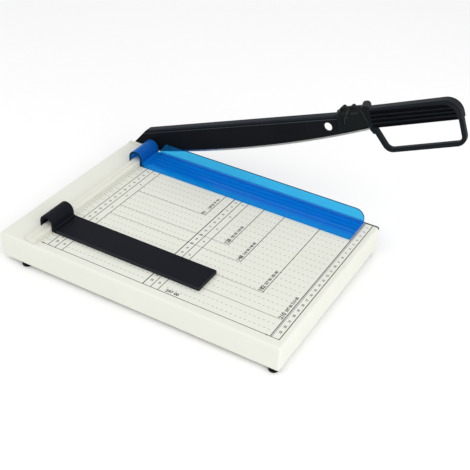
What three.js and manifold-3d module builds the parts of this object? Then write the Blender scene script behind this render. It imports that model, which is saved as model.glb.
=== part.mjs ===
// Guillotine paper cutter for A4 sheets, in millimetres with +Z up.
// A folded steel tray is the bed. A guide rail runs along its left side, and the fixed counter blade
// closes its rear edge. The cutting blade swings on a sprung bolt at the rear left corner. A paper stop
// clips over the rail and slides along it, and a clear blue guard clips over its rear end.
// X runs right and Y runs rearwards from the zero of the printed scale, and Z runs up from the bed. The
// two blades meet in the cut plane. The arm has its own frame, with its zero on the bolt in that plane.

import * as THREE from 'three';
import * as BufferGeometryUtils from 'three/addons/utils/BufferGeometryUtils.js';
import Module from 'manifold-3d';

const wasm = await Module();
wasm.setup();

// Fits and round stretches
const runningGap = 0.3;
const seatGap = 0.1;
const overrun = 5;
const weldTolerance = 1e-3;
const arcStep = THREE.MathUtils.degToRad(15);
const holeSides = 16;
const roundSides = 24;

// Tray
const bedWidth = 367;
const bedDepth = 250;
const leftShelf = 52;
const trayHeight = 32.5;
const sheetThickness = 1.2;
const bendRadius = 3;
const bendSteps = 3;
const returnFlange = 14;

// Rubber feet
const footRadius = 5.5;
const footHeight = 5;
const footEdge = 1.6;
const footStemRadius = 2.5;
const footBarbRadius = 3.6;
const footBarbHeight = 3;
const footInset = 6;
const footLeftInset = 32;
const footRightInset = 8.5;

// Counter blade, fixed to the rear of the tray
const cutPlane = 2;
const counterThickness = 2.5;
const counterHeight = 28;
const counterReach = 8;
const counterScrewCount = 5;
const counterScrewDrop = 15;
const counterScrewMargin = 20;

// Pan head screws
const screwRadius = 2;
const screwHeadRadius = 3.8;
const screwHeadHeight = 2.4;
const screwHoleGap = 0.25;
const screwTipGap = 0.5;

// Guide rail
const railWidth = 12.4;
const railHeight = 6.5;
const railFromZero = 2.2;
const railFrontInset = 3;
const railChamfer = 1;
const railGrooveWidth = 1.6;
const railGrooveDepth = 0.7;
const railScrewCount = 3;
const railScrewMargin = 24;
const railScrewBite = 4.5;

// Pivot bracket and bolt
const bracketRise = 4.2;
const bracketLeftInset = 1.5;
const bracketCorner = 6;
const bracketBottomGap = 2.5;
const bracketScrewClearance = 1.3;
const pivotInset = 21.3;
const pivotDrop = 14;
const boltRadius = 4;
const boltHeadAcross = 13;
const boltHeadHeight = 5.3;
const washerRadius = 8.5;
const washerThickness = 1.6;
const nutHeight = 6.8;
const boltTail = 1.4;

// Pivot spring
const springWire = 1.8;
const springRadius = 6.1;
const springLength = 19.6;
const springCurls = 6;
const springEndPitchShare = 0.7;
const springSteps = 8;
const springSides = 5;

// Cutting blade, in the arm's frame: u runs along the arm and v up across it
const raisedAngle = THREE.MathUtils.degToRad(20.9);
const bladeThickness = 2.5;
const bladeTop = 34.5;
const bladeFlange = 12;
const edgeRadius = 1445;
const edgeLowest = 140;
const edgeStart = 31;
const edgeEnd = 343.5;
const edgeSteps = 20;
const edgeBevel = 3;
const edgeLand = 0.5;
const heelRadius = 19;
const heelSteps = 14;
const heelSlope = THREE.MathUtils.degToRad(30);
const hangHoleRadius = 5.2;
const hangHoleAt = 292.6;
const hangHoleUp = 21.5;
const flangeEnd = 337;
const shankEnd = 344.6;
const tangLow = 24;
const tangHigh = 32;
const tangEnd = 418;

// Handle collar
const collarStart = 304.5;
const collarLean = 4.5;
const collarSkew = 6;
const collarFrontSkin = 0.9;
const collarRear = 14.5;
const collarShoulder = 36;
const collarTop = 40.6;
const collarSlopeEnd = 8;
const collarCorner = 2.5;
const collarAboveEdge = 5;
const ridgeCount = 2;
const ridgeRadius = 2.2;
const ridgeFirst = 313;
const ridgePitch = 12;
const handleScrewAt = 316;
const handleScrewSpan = 14;
const handleScrewUp = 27;

// Lip between collar and grip, wide at its domed top and narrow at its waist
const lipTopAt = 338.6;
const lipTopWidth = 11.5;
const lipTop = 43.8;
const lipDome = 4;
const lipSkew = 5.5;
const lipWaistAt = 345.4;
const lipWaistWidth = 3.4;
const lipWaist = 24;
const lipLowAt = 348;
const lipLowWidth = 4.8;
const lipLow = 10.5;
const lipLowCorner = 1.8;
const lipFront = 3.4;
const lipRear = 15.5;
const lipEdge = 0.8;

// Handle grip and finger loop
const gripStart = 348;
const gripEnd = 455.6;
const gripTopLeft = 41.2;
const gripTopRight = 45;
const gripLowLeft = 17.6;
const gripLowRight = 21.2;
const gripFront = 6.5;
const gripRear = 9.5;
const gripEdge = 3.6;
const gripTopCorner = 19;
const gripRim = 4.6;
const ribCount = 3;
const ribWidth = 1.8;
const recessDepth = 2.2;
const recessStart = 351.5;
const recessBottom = 1.6;
const loopThickness = 4.4;
const loopFront = 2;
const loopRear = 4.6;
const loopEdge = 1.3;
const loopTopAt = 348.4;
const loopLeftAt = 360.2;
const loopLowLeft = -13.2;
const loopLowRight = -10;
const loopLeftCorner = 12;
const loopRightCorner = 12;

// Clips of the paper stop and the guard
const clipWall = 3.2;
const clipTop = 19.5;
const clipClearance = 0.5;
const clipLegLift = 1;
const clipFoot = 2.6;
const bedClearance = 0.3;

// Paper stop
const stopReach = 199;
const stopDepth = 37.6;
const stopThickness = 4.4;
const stopFromEdge = 180;
const stopChamfer = 1;

// Guard
const guardReach = 296;
const guardDepth = 40.9;
const guardThickness = 3.2;
const guardFromEdge = 1.2;
const guardClipFromEdge = 4;
const finThickness = 2;
const finHeight = 18.3;
const finStart = 2;
const finRamp = 10;
const finCorner = 12;
const guardRibCount = 5;
const guardRibWidth = 1;
const guardRibHeight = 0.5;
const guardRibMargin = 4.5;

// Places that follow from the sizes
const trayLeft = -leftShelf;
const trayRight = bedWidth - leftShelf;
const trayFront = -bedDepth;
const trayRear = cutPlane - counterThickness;
const trayFloor = -trayHeight;
const deskLevel = trayFloor - footHeight;
const railRight = -railFromZero;
const railLeft = railRight - railWidth;
const railMiddle = (railLeft + railRight) / 2;
const railFrontEnd = trayFront + railFrontInset;
const railRearEnd = trayRear - seatGap;
const counterLeft = -counterReach;
const bracketLeft = trayLeft + bracketLeftInset;
const bracketRight = counterLeft - seatGap;
const pivotAt = trayLeft + pivotInset;
const bladeFront = runningGap;
const bladeRear = bladeFront + bladeThickness;
const innerWall = trayRear - sheetThickness;
const clipLeft = railLeft - clipClearance - clipWall;
const clipRight = railRight + clipClearance + clipWall;

// Solids: closed meshes that can be joined and cut
function weld(geometry) {
  const bare = geometry.clone();
  for (const name of Object.keys(bare.attributes)) {
    if (name !== 'position') bare.deleteAttribute(name);
  }
  const merged = BufferGeometryUtils.mergeVertices(bare, weldTolerance);
  const kept = [];
  const index = merged.index.array;
  for (let i = 0; i < index.length; i += 3) {
    const [a, b, c] = [index[i], index[i + 1], index[i + 2]];
    if (a !== b && b !== c && c !== a) kept.push(a, b, c);
  }
  merged.setIndex(kept);
  return merged;
}

function solid(geometry) {
  const welded = weld(geometry);
  return new wasm.Manifold(new wasm.Mesh({
    numProp: 3,
    vertProperties: new Float32Array(welded.attributes.position.array),
    triVerts: new Uint32Array(welded.index.array),
  }));
}

function geometryOf(body) {
  const mesh = body.getMesh();
  const geometry = new THREE.BufferGeometry();
  geometry.setAttribute('position', new THREE.BufferAttribute(mesh.vertProperties, 3));
  geometry.setIndex(new THREE.BufferAttribute(mesh.triVerts, 1));
  return geometry;
}

const joined = (first, ...rest) => rest.reduce((body, next) => body.add(next), first);
const cutBy = (first, ...rest) => rest.reduce((body, next) => body.subtract(next), first);

// A closed outline from corners [x, y, radius], where a radius rounds its corner with an arc
function outline(corners) {
  const points = corners.flatMap(([x, y, radius = 0], i) => {
    const corner = new THREE.Vector2(x, y);
    if (radius === 0) return [corner];
    const [backX, backY] = corners[(i + corners.length - 1) % corners.length];
    const [onX, onY] = corners[(i + 1) % corners.length];
    const back = new THREE.Vector2(backX, backY).sub(corner).normalize();
    const on = new THREE.Vector2(onX, onY).sub(corner).normalize();
    const half = Math.acos(THREE.MathUtils.clamp(back.dot(on), -1, 1)) / 2;
    const centre = back.clone().add(on).setLength(radius / Math.sin(half)).add(corner);
    const start = corner.clone().addScaledVector(back, radius / Math.tan(half));
    const sweep = Math.sign(on.cross(back)) * (Math.PI - 2 * half);
    const steps = Math.ceil(Math.abs(sweep) / arcStep);
    const step = (_, k) => start.clone().rotateAround(centre, sweep * k / steps);
    return Array.from({ length: steps + 1 }, step);
  });
  return new THREE.Shape(points);
}

const rectangle = (x0, y0, x1, y1) => outline([[x0, y0], [x1, y0], [x1, y1], [x0, y1]]);

// A profile in X and Z carried along Y, with its end edges rounded by edge
function alongY(shape, front, rear, edge = 0) {
  const geometry = new THREE.ExtrudeGeometry(shape, {
    depth: rear - front - 2 * edge,
    bevelEnabled: edge > 0,
    bevelThickness: edge,
    bevelSize: edge,
    bevelOffset: -edge,
    bevelSegments: bendSteps,
  });
  geometry.rotateX(Math.PI / 2);
  geometry.translate(0, rear - edge, 0);
  return geometry;
}

// A profile in Y and Z carried along X
function alongX(shape, left, right) {
  const geometry = new THREE.ExtrudeGeometry(shape, { depth: right - left, bevelEnabled: false });
  geometry.rotateX(Math.PI / 2);
  geometry.rotateZ(Math.PI / 2);
  geometry.translate(left, 0, 0);
  return geometry;
}

function block(x0, x1, y0, y1, z0, z1) {
  const geometry = new THREE.BoxGeometry(x1 - x0, y1 - y0, z1 - z0);
  geometry.translate((x0 + x1) / 2, (y0 + y1) / 2, (z0 + z1) / 2);
  return geometry;
}

function drillAlongY(x, z, radius, front, rear, sides = holeSides) {
  const geometry = new THREE.CylinderGeometry(radius, radius, rear - front, sides);
  geometry.translate(x, (front + rear) / 2, z);
  return geometry;
}

function drillAlongZ(x, y, radius, low, high, sides = holeSides) {
  const geometry = new THREE.CylinderGeometry(radius, radius, high - low, sides);
  geometry.rotateX(Math.PI / 2);
  geometry.translate(x, y, (low + high) / 2);
  return geometry;
}

// A turned piece from [radius, height] points that start and end on the axis, which runs along Y
function turned(points, sides = roundSides) {
  return new THREE.LatheGeometry(points.map(([r, h]) => new THREE.Vector2(r, h)), sides);
}

function ring(outer, inner, height) {
  return turned([[inner, 0], [outer, 0], [outer, height], [inner, height], [inner, 0]]);
}

// Finishes
const finish = (color, roughness, metalness) => new THREE.MeshStandardMaterial({
  color, roughness, metalness,
});
const creamPaint = () => finish(0xe9e8dc, 0.5, 0.1);
const creamPlastic = () => finish(0xe6e6d8, 0.45, 0);
const blackPaint = () => finish(0x16181c, 0.4, 0.4);
const blackPlastic = () => finish(0x1b1e22, 0.55, 0);
const blackRubber = () => finish(0x101010, 0.9, 0);
const zincSteel = () => finish(0xb9bcc0, 0.35, 1);
const springSteel = () => finish(0x8d9095, 0.4, 1);
const blueClear = () => {
  const material = finish(0x0f74d6, 0.1, 0);
  material.transparent = true;
  material.opacity = 0.75;
  return material;
};

function piece(name, geometry, material) {
  const mesh = new THREE.Mesh(geometry, material);
  mesh.name = name;
  return mesh;
}

// Screws: the head sits at zero and the shank runs up the axis
function screwGeometry(length) {
  return turned([
    [0, -screwHeadHeight],
    [screwHeadRadius - screwHeadHeight / 2, -screwHeadHeight],
    [screwHeadRadius, -screwHeadHeight / 2],
    [screwHeadRadius, 0],
    [screwRadius, 0],
    [screwRadius, length - screwRadius / 2],
    [screwRadius / 2, length],
    [0, length],
  ], holeSides);
}

// Evenly spaced places from one end of a run to the other
const spread = (count, from, to) => Array.from(
  { length: count },
  (_, i) => from + (to - from) * i / (count - 1),
);

const screwHoleRadius = screwRadius + screwHoleGap;
const counterScrews = spread(
  counterScrewCount,
  counterLeft + counterScrewMargin,
  trayRight - counterScrewMargin,
);
const railScrews = spread(
  railScrewCount,
  railFrontEnd + railScrewMargin,
  railRearEnd - railScrewMargin,
);
const bracketScrewSpan = pivotAt - trayLeft - sheetThickness - bracketScrewClearance - screwHeadRadius;
const bracketScrews = [pivotAt - bracketScrewSpan, pivotAt + bracketScrewSpan];
const footColumns = { left: trayLeft + footLeftInset, right: trayRight - footRightInset };
const footRows = { front: trayFront + footInset, rear: trayRear - footInset };

// Tray: a box with its long edges bent round, open below inside the returned rim
function bentBox(inset) {
  const radius = bendRadius - inset;
  const rear = trayRear - inset;
  const shape = rectangle(trayLeft + bendRadius, trayFront + bendRadius, trayRight - bendRadius, overrun);
  const geometry = new THREE.ExtrudeGeometry(shape, {
    depth: trayHeight - 2 * bendRadius,
    bevelThickness: radius,
    bevelSize: radius,
    bevelSegments: bendSteps,
  });
  geometry.translate(0, 0, bendRadius - trayHeight);
  const behind = block(
    trayLeft - overrun, trayRight + overrun, rear, bedDepth, trayFloor - overrun, overrun,
  );
  return cutBy(solid(geometry), solid(behind));
}

function trayGeometry() {
  const opening = solid(block(
    trayLeft + returnFlange, trayRight - returnFlange,
    trayFront + returnFlange, trayRear - returnFlange,
    trayFloor - overrun, trayFloor + bendRadius,
  ));
  const holes = [
    drillAlongY(pivotAt, -pivotDrop, boltRadius + runningGap, innerWall - overrun, overrun, roundSides),
    ...counterScrews.map((x) => drillAlongY(
      x, -counterScrewDrop, screwHoleRadius, innerWall - overrun, overrun,
    )),
    ...bracketScrews.map((x) => drillAlongY(
      x, -pivotDrop, screwHoleRadius, innerWall - overrun, overrun,
    )),
    ...railScrews.map((y) => drillAlongZ(
      railMiddle, y, screwHoleRadius, -bendRadius, overrun,
    )),
  ];
  for (const x of Object.values(footColumns)) {
    for (const y of Object.values(footRows)) {
      holes.push(drillAlongZ(
        x, y, footStemRadius + screwHoleGap, trayFloor - overrun, trayFloor + bendRadius,
      ));
    }
  }
  return geometryOf(cutBy(bentBox(0), bentBox(sheetThickness), opening, ...holes.map(solid)));
}

// Foot: a rubber button whose stem snaps through the returned rim
function footGeometry() {
  const rim = footHeight + sheetThickness;
  const geometry = turned([
    [0, 0],
    [footRadius - footEdge, 0],
    [footRadius, footEdge],
    [footRadius, footHeight - seatGap],
    [footStemRadius, footHeight - seatGap],
    [footStemRadius, rim + seatGap],
    [footBarbRadius, rim + seatGap],
    [footStemRadius, rim + footBarbHeight],
    [0, rim + footBarbHeight],
  ], holeSides);
  geometry.rotateX(Math.PI / 2);
  return geometry;
}

// Counter blade: a flat bar with its top corner rounded to the tray's bend
function counterBladeGeometry() {
  const bar = alongY(outline([
    [counterLeft, -counterHeight],
    [trayRight, -counterHeight],
    [trayRight, 0, bendRadius],
    [counterLeft, 0],
  ]), trayRear, cutPlane);
  const holes = counterScrews.map((x) => solid(drillAlongY(
    x, -counterScrewDrop, screwHoleRadius, trayRear - overrun, overrun,
  )));
  return geometryOf(cutBy(solid(bar), ...holes));
}

// Pivot bracket: an upright plate in line with the counter blade, standing proud of the bed
function bracketGeometry() {
  const plate = alongY(outline([
    [bracketLeft, trayFloor + bracketBottomGap],
    [bracketRight, trayFloor + bracketBottomGap],
    [bracketRight, bracketRise],
    [bracketLeft, bracketRise, bracketCorner],
  ]), trayRear, cutPlane);
  const holes = bracketScrews.map((x) => solid(drillAlongY(
    x, -pivotDrop, screwHoleRadius, trayRear - overrun, overrun,
  )));
  holes.push(solid(drillAlongY(
    pivotAt, -pivotDrop, boltRadius + runningGap, trayRear - overrun, overrun, roundSides,
  )));
  return geometryOf(cutBy(solid(plate), ...holes));
}

// Guide rail: a bar with chamfered top edges and a shallow groove along its top
function railGeometry() {
  const grooveLeft = railMiddle - railGrooveWidth / 2;
  const grooveRight = railMiddle + railGrooveWidth / 2;
  const bar = alongY(outline([
    [railLeft, seatGap],
    [railRight, seatGap],
    [railRight, railHeight - railChamfer],
    [railRight - railChamfer, railHeight],
    [grooveRight, railHeight],
    [grooveRight, railHeight - railGrooveDepth],
    [grooveLeft, railHeight - railGrooveDepth],
    [grooveLeft, railHeight],
    [railLeft + railChamfer, railHeight],
    [railLeft, railHeight - railChamfer],
  ]), railFrontEnd, railRearEnd);
  const holes = railScrews.map((y) => solid(drillAlongZ(
    railMiddle, y, screwHoleRadius, -overrun, railScrewBite,
  )));
  return geometryOf(cutBy(solid(bar), ...holes));
}

// Bolt: its hex head stands outside the arm and its shank runs forwards to the nut
const bodyRear = cutPlane + bladeRear + runningGap + washerThickness + seatGap;
const innerWasherRear = innerWall - seatGap;
const springRear = innerWasherRear - washerThickness - seatGap;
const springFront = springRear - springLength;
const endWasherFront = springFront - seatGap - washerThickness;
const nutFront = endWasherFront - seatGap - nutHeight;

function hexGeometry(height) {
  const geometry = new THREE.CylinderGeometry(
    boltHeadAcross / Math.sqrt(3), boltHeadAcross / Math.sqrt(3), height, 6,
  );
  geometry.translate(0, height / 2, 0);
  return geometry;
}

function boltGeometry() {
  const head = hexGeometry(boltHeadHeight);
  head.translate(0, bodyRear, 0);
  const shankRear = bodyRear + boltHeadHeight / 2;
  const shank = drillAlongY(0, 0, boltRadius, nutFront - boltTail, shankRear, roundSides);
  return geometryOf(joined(solid(head), solid(shank)));
}

function nutGeometry() {
  const bore = drillAlongY(0, 0, boltRadius + seatGap, -overrun, nutHeight + overrun, roundSides);
  return geometryOf(cutBy(solid(hexGeometry(nutHeight)), solid(bore)));
}

// Spring: one round wire wound about the bolt, its end curls closer than the rest
function springPoints() {
  const points = [];
  const steps = springCurls * springSteps;
  const usable = springLength - springWire - 2 * seatGap;
  const share = (turn) => {
    const closeness = Math.min(turn, springCurls - turn, 1);
    return springEndPitchShare + (1 - springEndPitchShare) * closeness;
  };
  const shares = Array.from({ length: steps }, (_, i) => share((i + 1 / 2) / springSteps));
  const total = shares.reduce((sum, value) => sum + value, 0);
  let along = springWire / 2 + seatGap;
  for (let i = 0; i <= steps; i += 1) {
    const angle = i / springSteps * 2 * Math.PI;
    points.push(new THREE.Vector3(springRadius * Math.cos(angle), along, springRadius * Math.sin(angle)));
    if (i < steps) along += usable * shares[i] / total;
  }
  const last = points.length - 1;
  const leadIn = points[0].clone().sub(points[1]).setLength(springWire).add(points[0]);
  const leadOut = points[last].clone().sub(points[last - 1]).setLength(springWire).add(points[last]);
  leadIn.y = points[0].y;
  leadOut.y = points[last].y;
  return [leadIn, ...points, leadOut];
}

function wireGeometry(points, radius, sides) {
  const vertices = [];
  const triangles = [];
  const rings = points.length;
  points.forEach((point, i) => {
    const before = points[Math.max(i - 1, 0)];
    const after = points[Math.min(i + 1, rings - 1)];
    const direction = after.clone().sub(before).normalize();
    const outward = new THREE.Vector3(point.x, 0, point.z).normalize();
    outward.addScaledVector(direction, -outward.dot(direction)).normalize();
    const side = direction.clone().cross(outward);
    for (let k = 0; k < sides; k += 1) {
      const angle = 2 * Math.PI * k / sides;
      const corner = point.clone()
        .addScaledVector(outward, radius * Math.cos(angle))
        .addScaledVector(side, radius * Math.sin(angle));
      vertices.push(corner.x, corner.y, corner.z);
    }
  });
  for (let i = 0; i < rings - 1; i += 1) {
    for (let k = 0; k < sides; k += 1) {
      const next = (k + 1) % sides;
      const [a, b] = [i * sides + k, i * sides + next];
      const [c, d] = [(i + 1) * sides + next, (i + 1) * sides + k];
      triangles.push(a, b, c, a, c, d);
    }
  }
  for (let k = 1; k < sides - 1; k += 1) {
    const end = (rings - 1) * sides;
    triangles.push(0, k + 1, k, end, end + k, end + k + 1);
  }
  const geometry = new THREE.BufferGeometry();
  geometry.setAttribute('position', new THREE.Float32BufferAttribute(vertices, 3));
  geometry.setIndex(triangles);
  return geometry;
}

// The least gap of the wire to itself, between points more than half a curl apart
function leastGap(points, wire) {
  let least = Infinity;
  for (let i = 0; i < points.length; i += 1) {
    for (let j = i + springSteps / 2; j < points.length; j += 1) {
      least = Math.min(least, points[i].distanceTo(points[j]) - wire);
    }
  }
  return least;
}

// Cutting blade: a plate with a curved ground edge, its back folded outwards as a stiffening flange
const edgeHeight = (u) => edgeRadius - Math.sqrt(edgeRadius ** 2 - (u - edgeLowest) ** 2);
const edgePlaces = spread(edgeSteps + 1, edgeStart, edgeEnd);

function heelPoints() {
  const from = Math.PI / 2 + heelSlope;
  const to = 2 * Math.PI - heelSlope;
  return spread(heelSteps + 1, from, to).map((angle) => [
    heelRadius * Math.cos(angle), heelRadius * Math.sin(angle),
  ]);
}

function bladeOutline() {
  const [tangentU, tangentV] = heelPoints()[0];
  const flangeStart = tangentU + (bladeTop - tangentV) / Math.tan(heelSlope);
  return outline([
    ...heelPoints(),
    ...edgePlaces.map((u) => [u, edgeHeight(u)]),
    [shankEnd, tangLow],
    [tangEnd, tangLow],
    [tangEnd, tangHigh],
    [flangeEnd, tangHigh],
    [flangeEnd, bladeTop],
    [flangeStart, bladeTop],
  ]);
}

// The ground bevel of the edge: a wedge carried along the edge's curve, on the outer face
function bevelCutter() {
  const deep = overrun;
  const sections = spread(edgeSteps + 1, edgeStart - deep, edgeEnd + deep).map((u) => {
    const v = edgeHeight(u);
    return [
      [u, bladeFront + edgeLand, v - seatGap],
      [u, bladeRear + seatGap, v + edgeBevel],
      [u, bladeRear + deep, v + edgeBevel],
      [u, bladeRear + deep, v - deep],
      [u, bladeFront + edgeLand, v - deep],
    ];
  });
  const sides = sections[0].length;
  const triangles = [];
  for (let i = 0; i < sections.length - 1; i += 1) {
    for (let k = 0; k < sides; k += 1) {
      const next = (k + 1) % sides;
      const [a, b] = [i * sides + k, i * sides + next];
      const [c, d] = [(i + 1) * sides + next, (i + 1) * sides + k];
      triangles.push(a, c, b, a, d, c);
    }
  }
  for (let k = 1; k < sides - 1; k += 1) {
    const end = (sections.length - 1) * sides;
    triangles.push(0, k, k + 1, end, end + k + 1, end + k);
  }
  const geometry = new THREE.BufferGeometry();
  geometry.setAttribute('position', new THREE.Float32BufferAttribute(sections.flat(2), 3));
  geometry.setIndex(triangles);
  return geometry;
}

function bladeGeometry() {
  const plate = alongY(bladeOutline(), bladeFront, bladeRear);
  const [tangentU, tangentV] = heelPoints()[0];
  const flangeStart = tangentU + (bladeTop - tangentV) / Math.tan(heelSlope);
  const flangeSlack = bladeThickness / Math.tan(heelSlope);
  const flange = alongY(outline([
    [flangeStart - flangeSlack, bladeTop - bladeThickness],
    [flangeEnd, bladeTop - bladeThickness],
    [flangeEnd, bladeTop],
    [flangeStart, bladeTop],
  ]), bladeFront, bladeFront + bladeFlange);
  const holes = [
    drillAlongY(0, 0, boltRadius + runningGap, -overrun, bladeRear + overrun, roundSides),
    drillAlongY(hangHoleAt, hangHoleUp, hangHoleRadius, -overrun, bladeRear + overrun, roundSides),
    ...handleScrewPlaces.map((u) => drillAlongY(
      u, handleScrewUp, screwHoleRadius, -overrun, bladeRear + overrun,
    )),
  ];
  const body = joined(solid(plate), solid(flange));
  return geometryOf(cutBy(body, solid(bevelCutter()), ...holes.map(solid)));
}

// Handle
const handleScrewPlaces = [handleScrewAt, handleScrewAt + handleScrewSpan];
const between = (from, to, share) => from + (to - from) * share;

// Room for the blade, its flange and its tang inside the handle
function bladeRoom() {
  const gap = runningGap;
  const room = (u1, v0, v1, rear) => solid(block(
    collarStart - collarSkew - overrun, u1 + gap, bladeFront - gap, rear + gap, v0 - gap, v1 + gap,
  ));
  return joined(
    room(flangeEnd, -overrun, bladeTop, bladeRear),
    room(flangeEnd, bladeTop - bladeThickness, bladeTop, bladeFront + bladeFlange),
    room(shankEnd, -overrun, tangHigh, bladeRear),
    room(tangEnd, tangLow, tangHigh, bladeRear),
  );
}

function lipSolid(gap, front, rear, edge) {
  const geometry = alongY(outline([
    [lipTopAt - gap, lipTop + gap, lipDome],
    [lipWaistAt - gap, lipWaist],
    [lipLowAt - gap, lipLow - gap, lipLowCorner],
    [lipLowAt + lipLowWidth + gap, lipLow - gap, lipLowCorner],
    [lipWaistAt + lipWaistWidth + gap, lipWaist],
    [lipTopAt + lipTopWidth + gap, lipTop + gap, lipDome],
  ]), front, rear, edge);
  geometry.applyMatrix4(new THREE.Matrix4().makeShear(0, 0, -lipSkew / (lipFront + lipRear), 0, 0, 0));
  return solid(geometry);
}

// Collar: its top slopes up to the rear, its left end runs askew, and two ridges cross its top
function collarGeometry() {
  const lowLeft = edgeHeight(collarStart) + collarAboveEdge;
  const lowRight = edgeHeight(lipWaistAt) + collarAboveEdge;
  const side = solid(alongY(outline([
    [collarStart - collarSkew, lowLeft],
    [lipWaistAt + lipWaistWidth / 2, lowRight],
    [lipWaistAt + lipWaistWidth / 2, lipWaist],
    [lipTopAt + lipTopWidth / 2, collarTop],
    [ridgeFirst - ridgeRadius, collarTop],
    [collarStart - collarSkew, collarShoulder],
  ]), -collarFrontSkin, collarRear));
  const section = solid(alongX(outline([
    [-collarFrontSkin, -overrun],
    [collarRear, -overrun],
    [collarRear, collarTop, collarCorner],
    [collarSlopeEnd, collarTop, collarCorner],
    [-collarFrontSkin, collarShoulder],
  ]), collarStart - collarSkew - overrun, lipTopAt + lipTopWidth));
  const skew = new THREE.ExtrudeGeometry(outline([
    [collarStart, -collarFrontSkin - overrun],
    [collarStart, -collarFrontSkin],
    [collarStart - collarSkew, collarRear],
    [collarStart - collarSkew - overrun, collarRear],
    [collarStart - collarSkew - overrun, -collarFrontSkin - overrun],
  ]), { depth: collarTop + overrun - lowLeft, bevelEnabled: false });
  const lean = collarLean / (collarTop - lowLeft);
  skew.applyMatrix4(new THREE.Matrix4().makeShear(0, 0, 0, 0, lean, 0));
  skew.translate(0, 0, lowLeft);
  const ridges = Array.from({ length: ridgeCount }, (_, i) => solid(drillAlongY(
    ridgeFirst + i * ridgePitch, collarTop - ridgeRadius / 2, ridgeRadius, collarSlopeEnd, collarRear,
  )));
  const screws = handleScrewPlaces.map((u) => solid(drillAlongY(
    u, handleScrewUp, screwHoleRadius, bladeRear, collarRear + overrun,
  )));
  return geometryOf(cutBy(
    joined(
      cutBy(side.intersect(section), solid(skew)),
      ...ridges,
      lipSolid(0, -lipFront, lipRear, lipEdge),
    ),
    bladeRoom(),
    ...screws,
  ));
}

// Grip: a bar with rounded edges and a ribbed recess in each side, in one moulding with its finger loop
function gripGeometry() {
  const bar = alongY(outline([
    [gripStart, gripLowLeft],
    [gripEnd, gripLowRight],
    [gripEnd, gripTopRight, gripTopCorner],
    [gripStart, gripTopLeft],
  ]), -gripFront, gripRear, gripEdge);
  const side = new THREE.Vector2(loopLeftAt - loopTopAt, gripLowLeft - loopLowLeft);
  const slantedThickness = loopThickness * side.length() / side.y;
  const innerTop = gripLowLeft + loopThickness / 2;
  const innerLow = loopLowLeft + loopThickness;
  const across = (v) => side.x * (gripLowLeft - v) / side.y;
  const loopShape = outline([
    [loopTopAt, gripLowLeft],
    [loopLeftAt, loopLowLeft, loopLeftCorner],
    [gripEnd, loopLowRight, loopRightCorner],
    [gripEnd, gripLowRight + 2 * loopThickness],
    [loopTopAt, gripLowLeft + 2 * loopThickness],
  ]);
  loopShape.holes.push(outline([
    [loopTopAt + slantedThickness + across(innerTop), innerTop],
    [loopTopAt + slantedThickness + across(innerLow), innerLow, loopLeftCorner - loopThickness],
    [gripEnd - loopThickness, loopLowRight + loopThickness, loopRightCorner - loopThickness],
    [gripEnd - loopThickness, gripLowRight + loopThickness / 2],
  ]));
  const loop = alongY(loopShape, -loopFront, loopRear, loopEdge);
  return geometryOf(cutBy(
    joined(solid(bar), solid(loop)),
    ribbedRecess(-gripFront - overrun, -gripFront + recessDepth),
    ribbedRecess(gripRear - recessDepth, gripRear + overrun),
    lipSolid(runningGap, -gripFront - overrun, gripRear + overrun, 0),
    bladeRoom(),
  ));
}

// A recess inside the grip's rim, crossed lengthwise by ribs that are left standing
function ribbedRecess(front, rear) {
  const lowLeft = gripLowLeft + recessBottom;
  const lowRight = gripLowRight + recessBottom;
  const highLeft = gripTopLeft - gripRim / 2;
  const highRight = gripTopRight - gripRim;
  const right = gripEnd - gripRim;
  const recess = solid(alongY(outline([
    [recessStart, lowLeft],
    [right, lowRight],
    [right, highRight, gripTopCorner - gripRim],
    [recessStart, highLeft],
  ]), front, rear));
  const ribs = Array.from({ length: ribCount }, (_, i) => {
    const share = (i + 1) / (ribCount + 1);
    const left = between(lowLeft, highLeft, share);
    const end = between(lowRight, highRight, share);
    return solid(alongY(outline([
      [recessStart - overrun, left - ribWidth / 2],
      [right + overrun, end - ribWidth / 2],
      [right + overrun, end + ribWidth / 2],
      [recessStart - overrun, left + ribWidth / 2],
    ]), front - overrun, rear + overrun));
  });
  return cutBy(recess, ...ribs);
}

// Clip: a hook that arches over the guide rail and runs out to the right as a plate
function clipOutline(plateTop, reach) {
  const outer = (clipRight - clipLeft) / 2;
  const inner = outer - clipWall;
  return outline([
    [clipLeft, clipLegLift],
    [clipLeft + clipWall, clipLegLift],
    [clipLeft + clipWall, clipTop - clipWall, inner - seatGap],
    [clipRight - clipWall, clipTop - clipWall, inner - seatGap],
    [clipRight - clipWall, bedClearance],
    [reach, bedClearance],
    [reach, plateTop],
    [clipRight, plateTop, clipFoot],
    [clipRight, clipTop, outer - seatGap],
    [clipLeft, clipTop, outer - seatGap],
  ]);
}

function stopGeometry() {
  const front = -stopFromEdge - stopDepth;
  const plateStart = clipRight + clipFoot + stopChamfer;
  const clip = alongY(clipOutline(stopThickness, plateStart + stopChamfer), front, -stopFromEdge);
  const plate = alongX(outline([
    [front, bedClearance],
    [-stopFromEdge, bedClearance],
    [-stopFromEdge, stopThickness - stopChamfer],
    [-stopFromEdge - stopChamfer, stopThickness],
    [front + stopChamfer, stopThickness],
    [front, stopThickness - stopChamfer],
  ]), plateStart, stopReach);
  return geometryOf(joined(solid(clip), solid(plate)));
}

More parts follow.
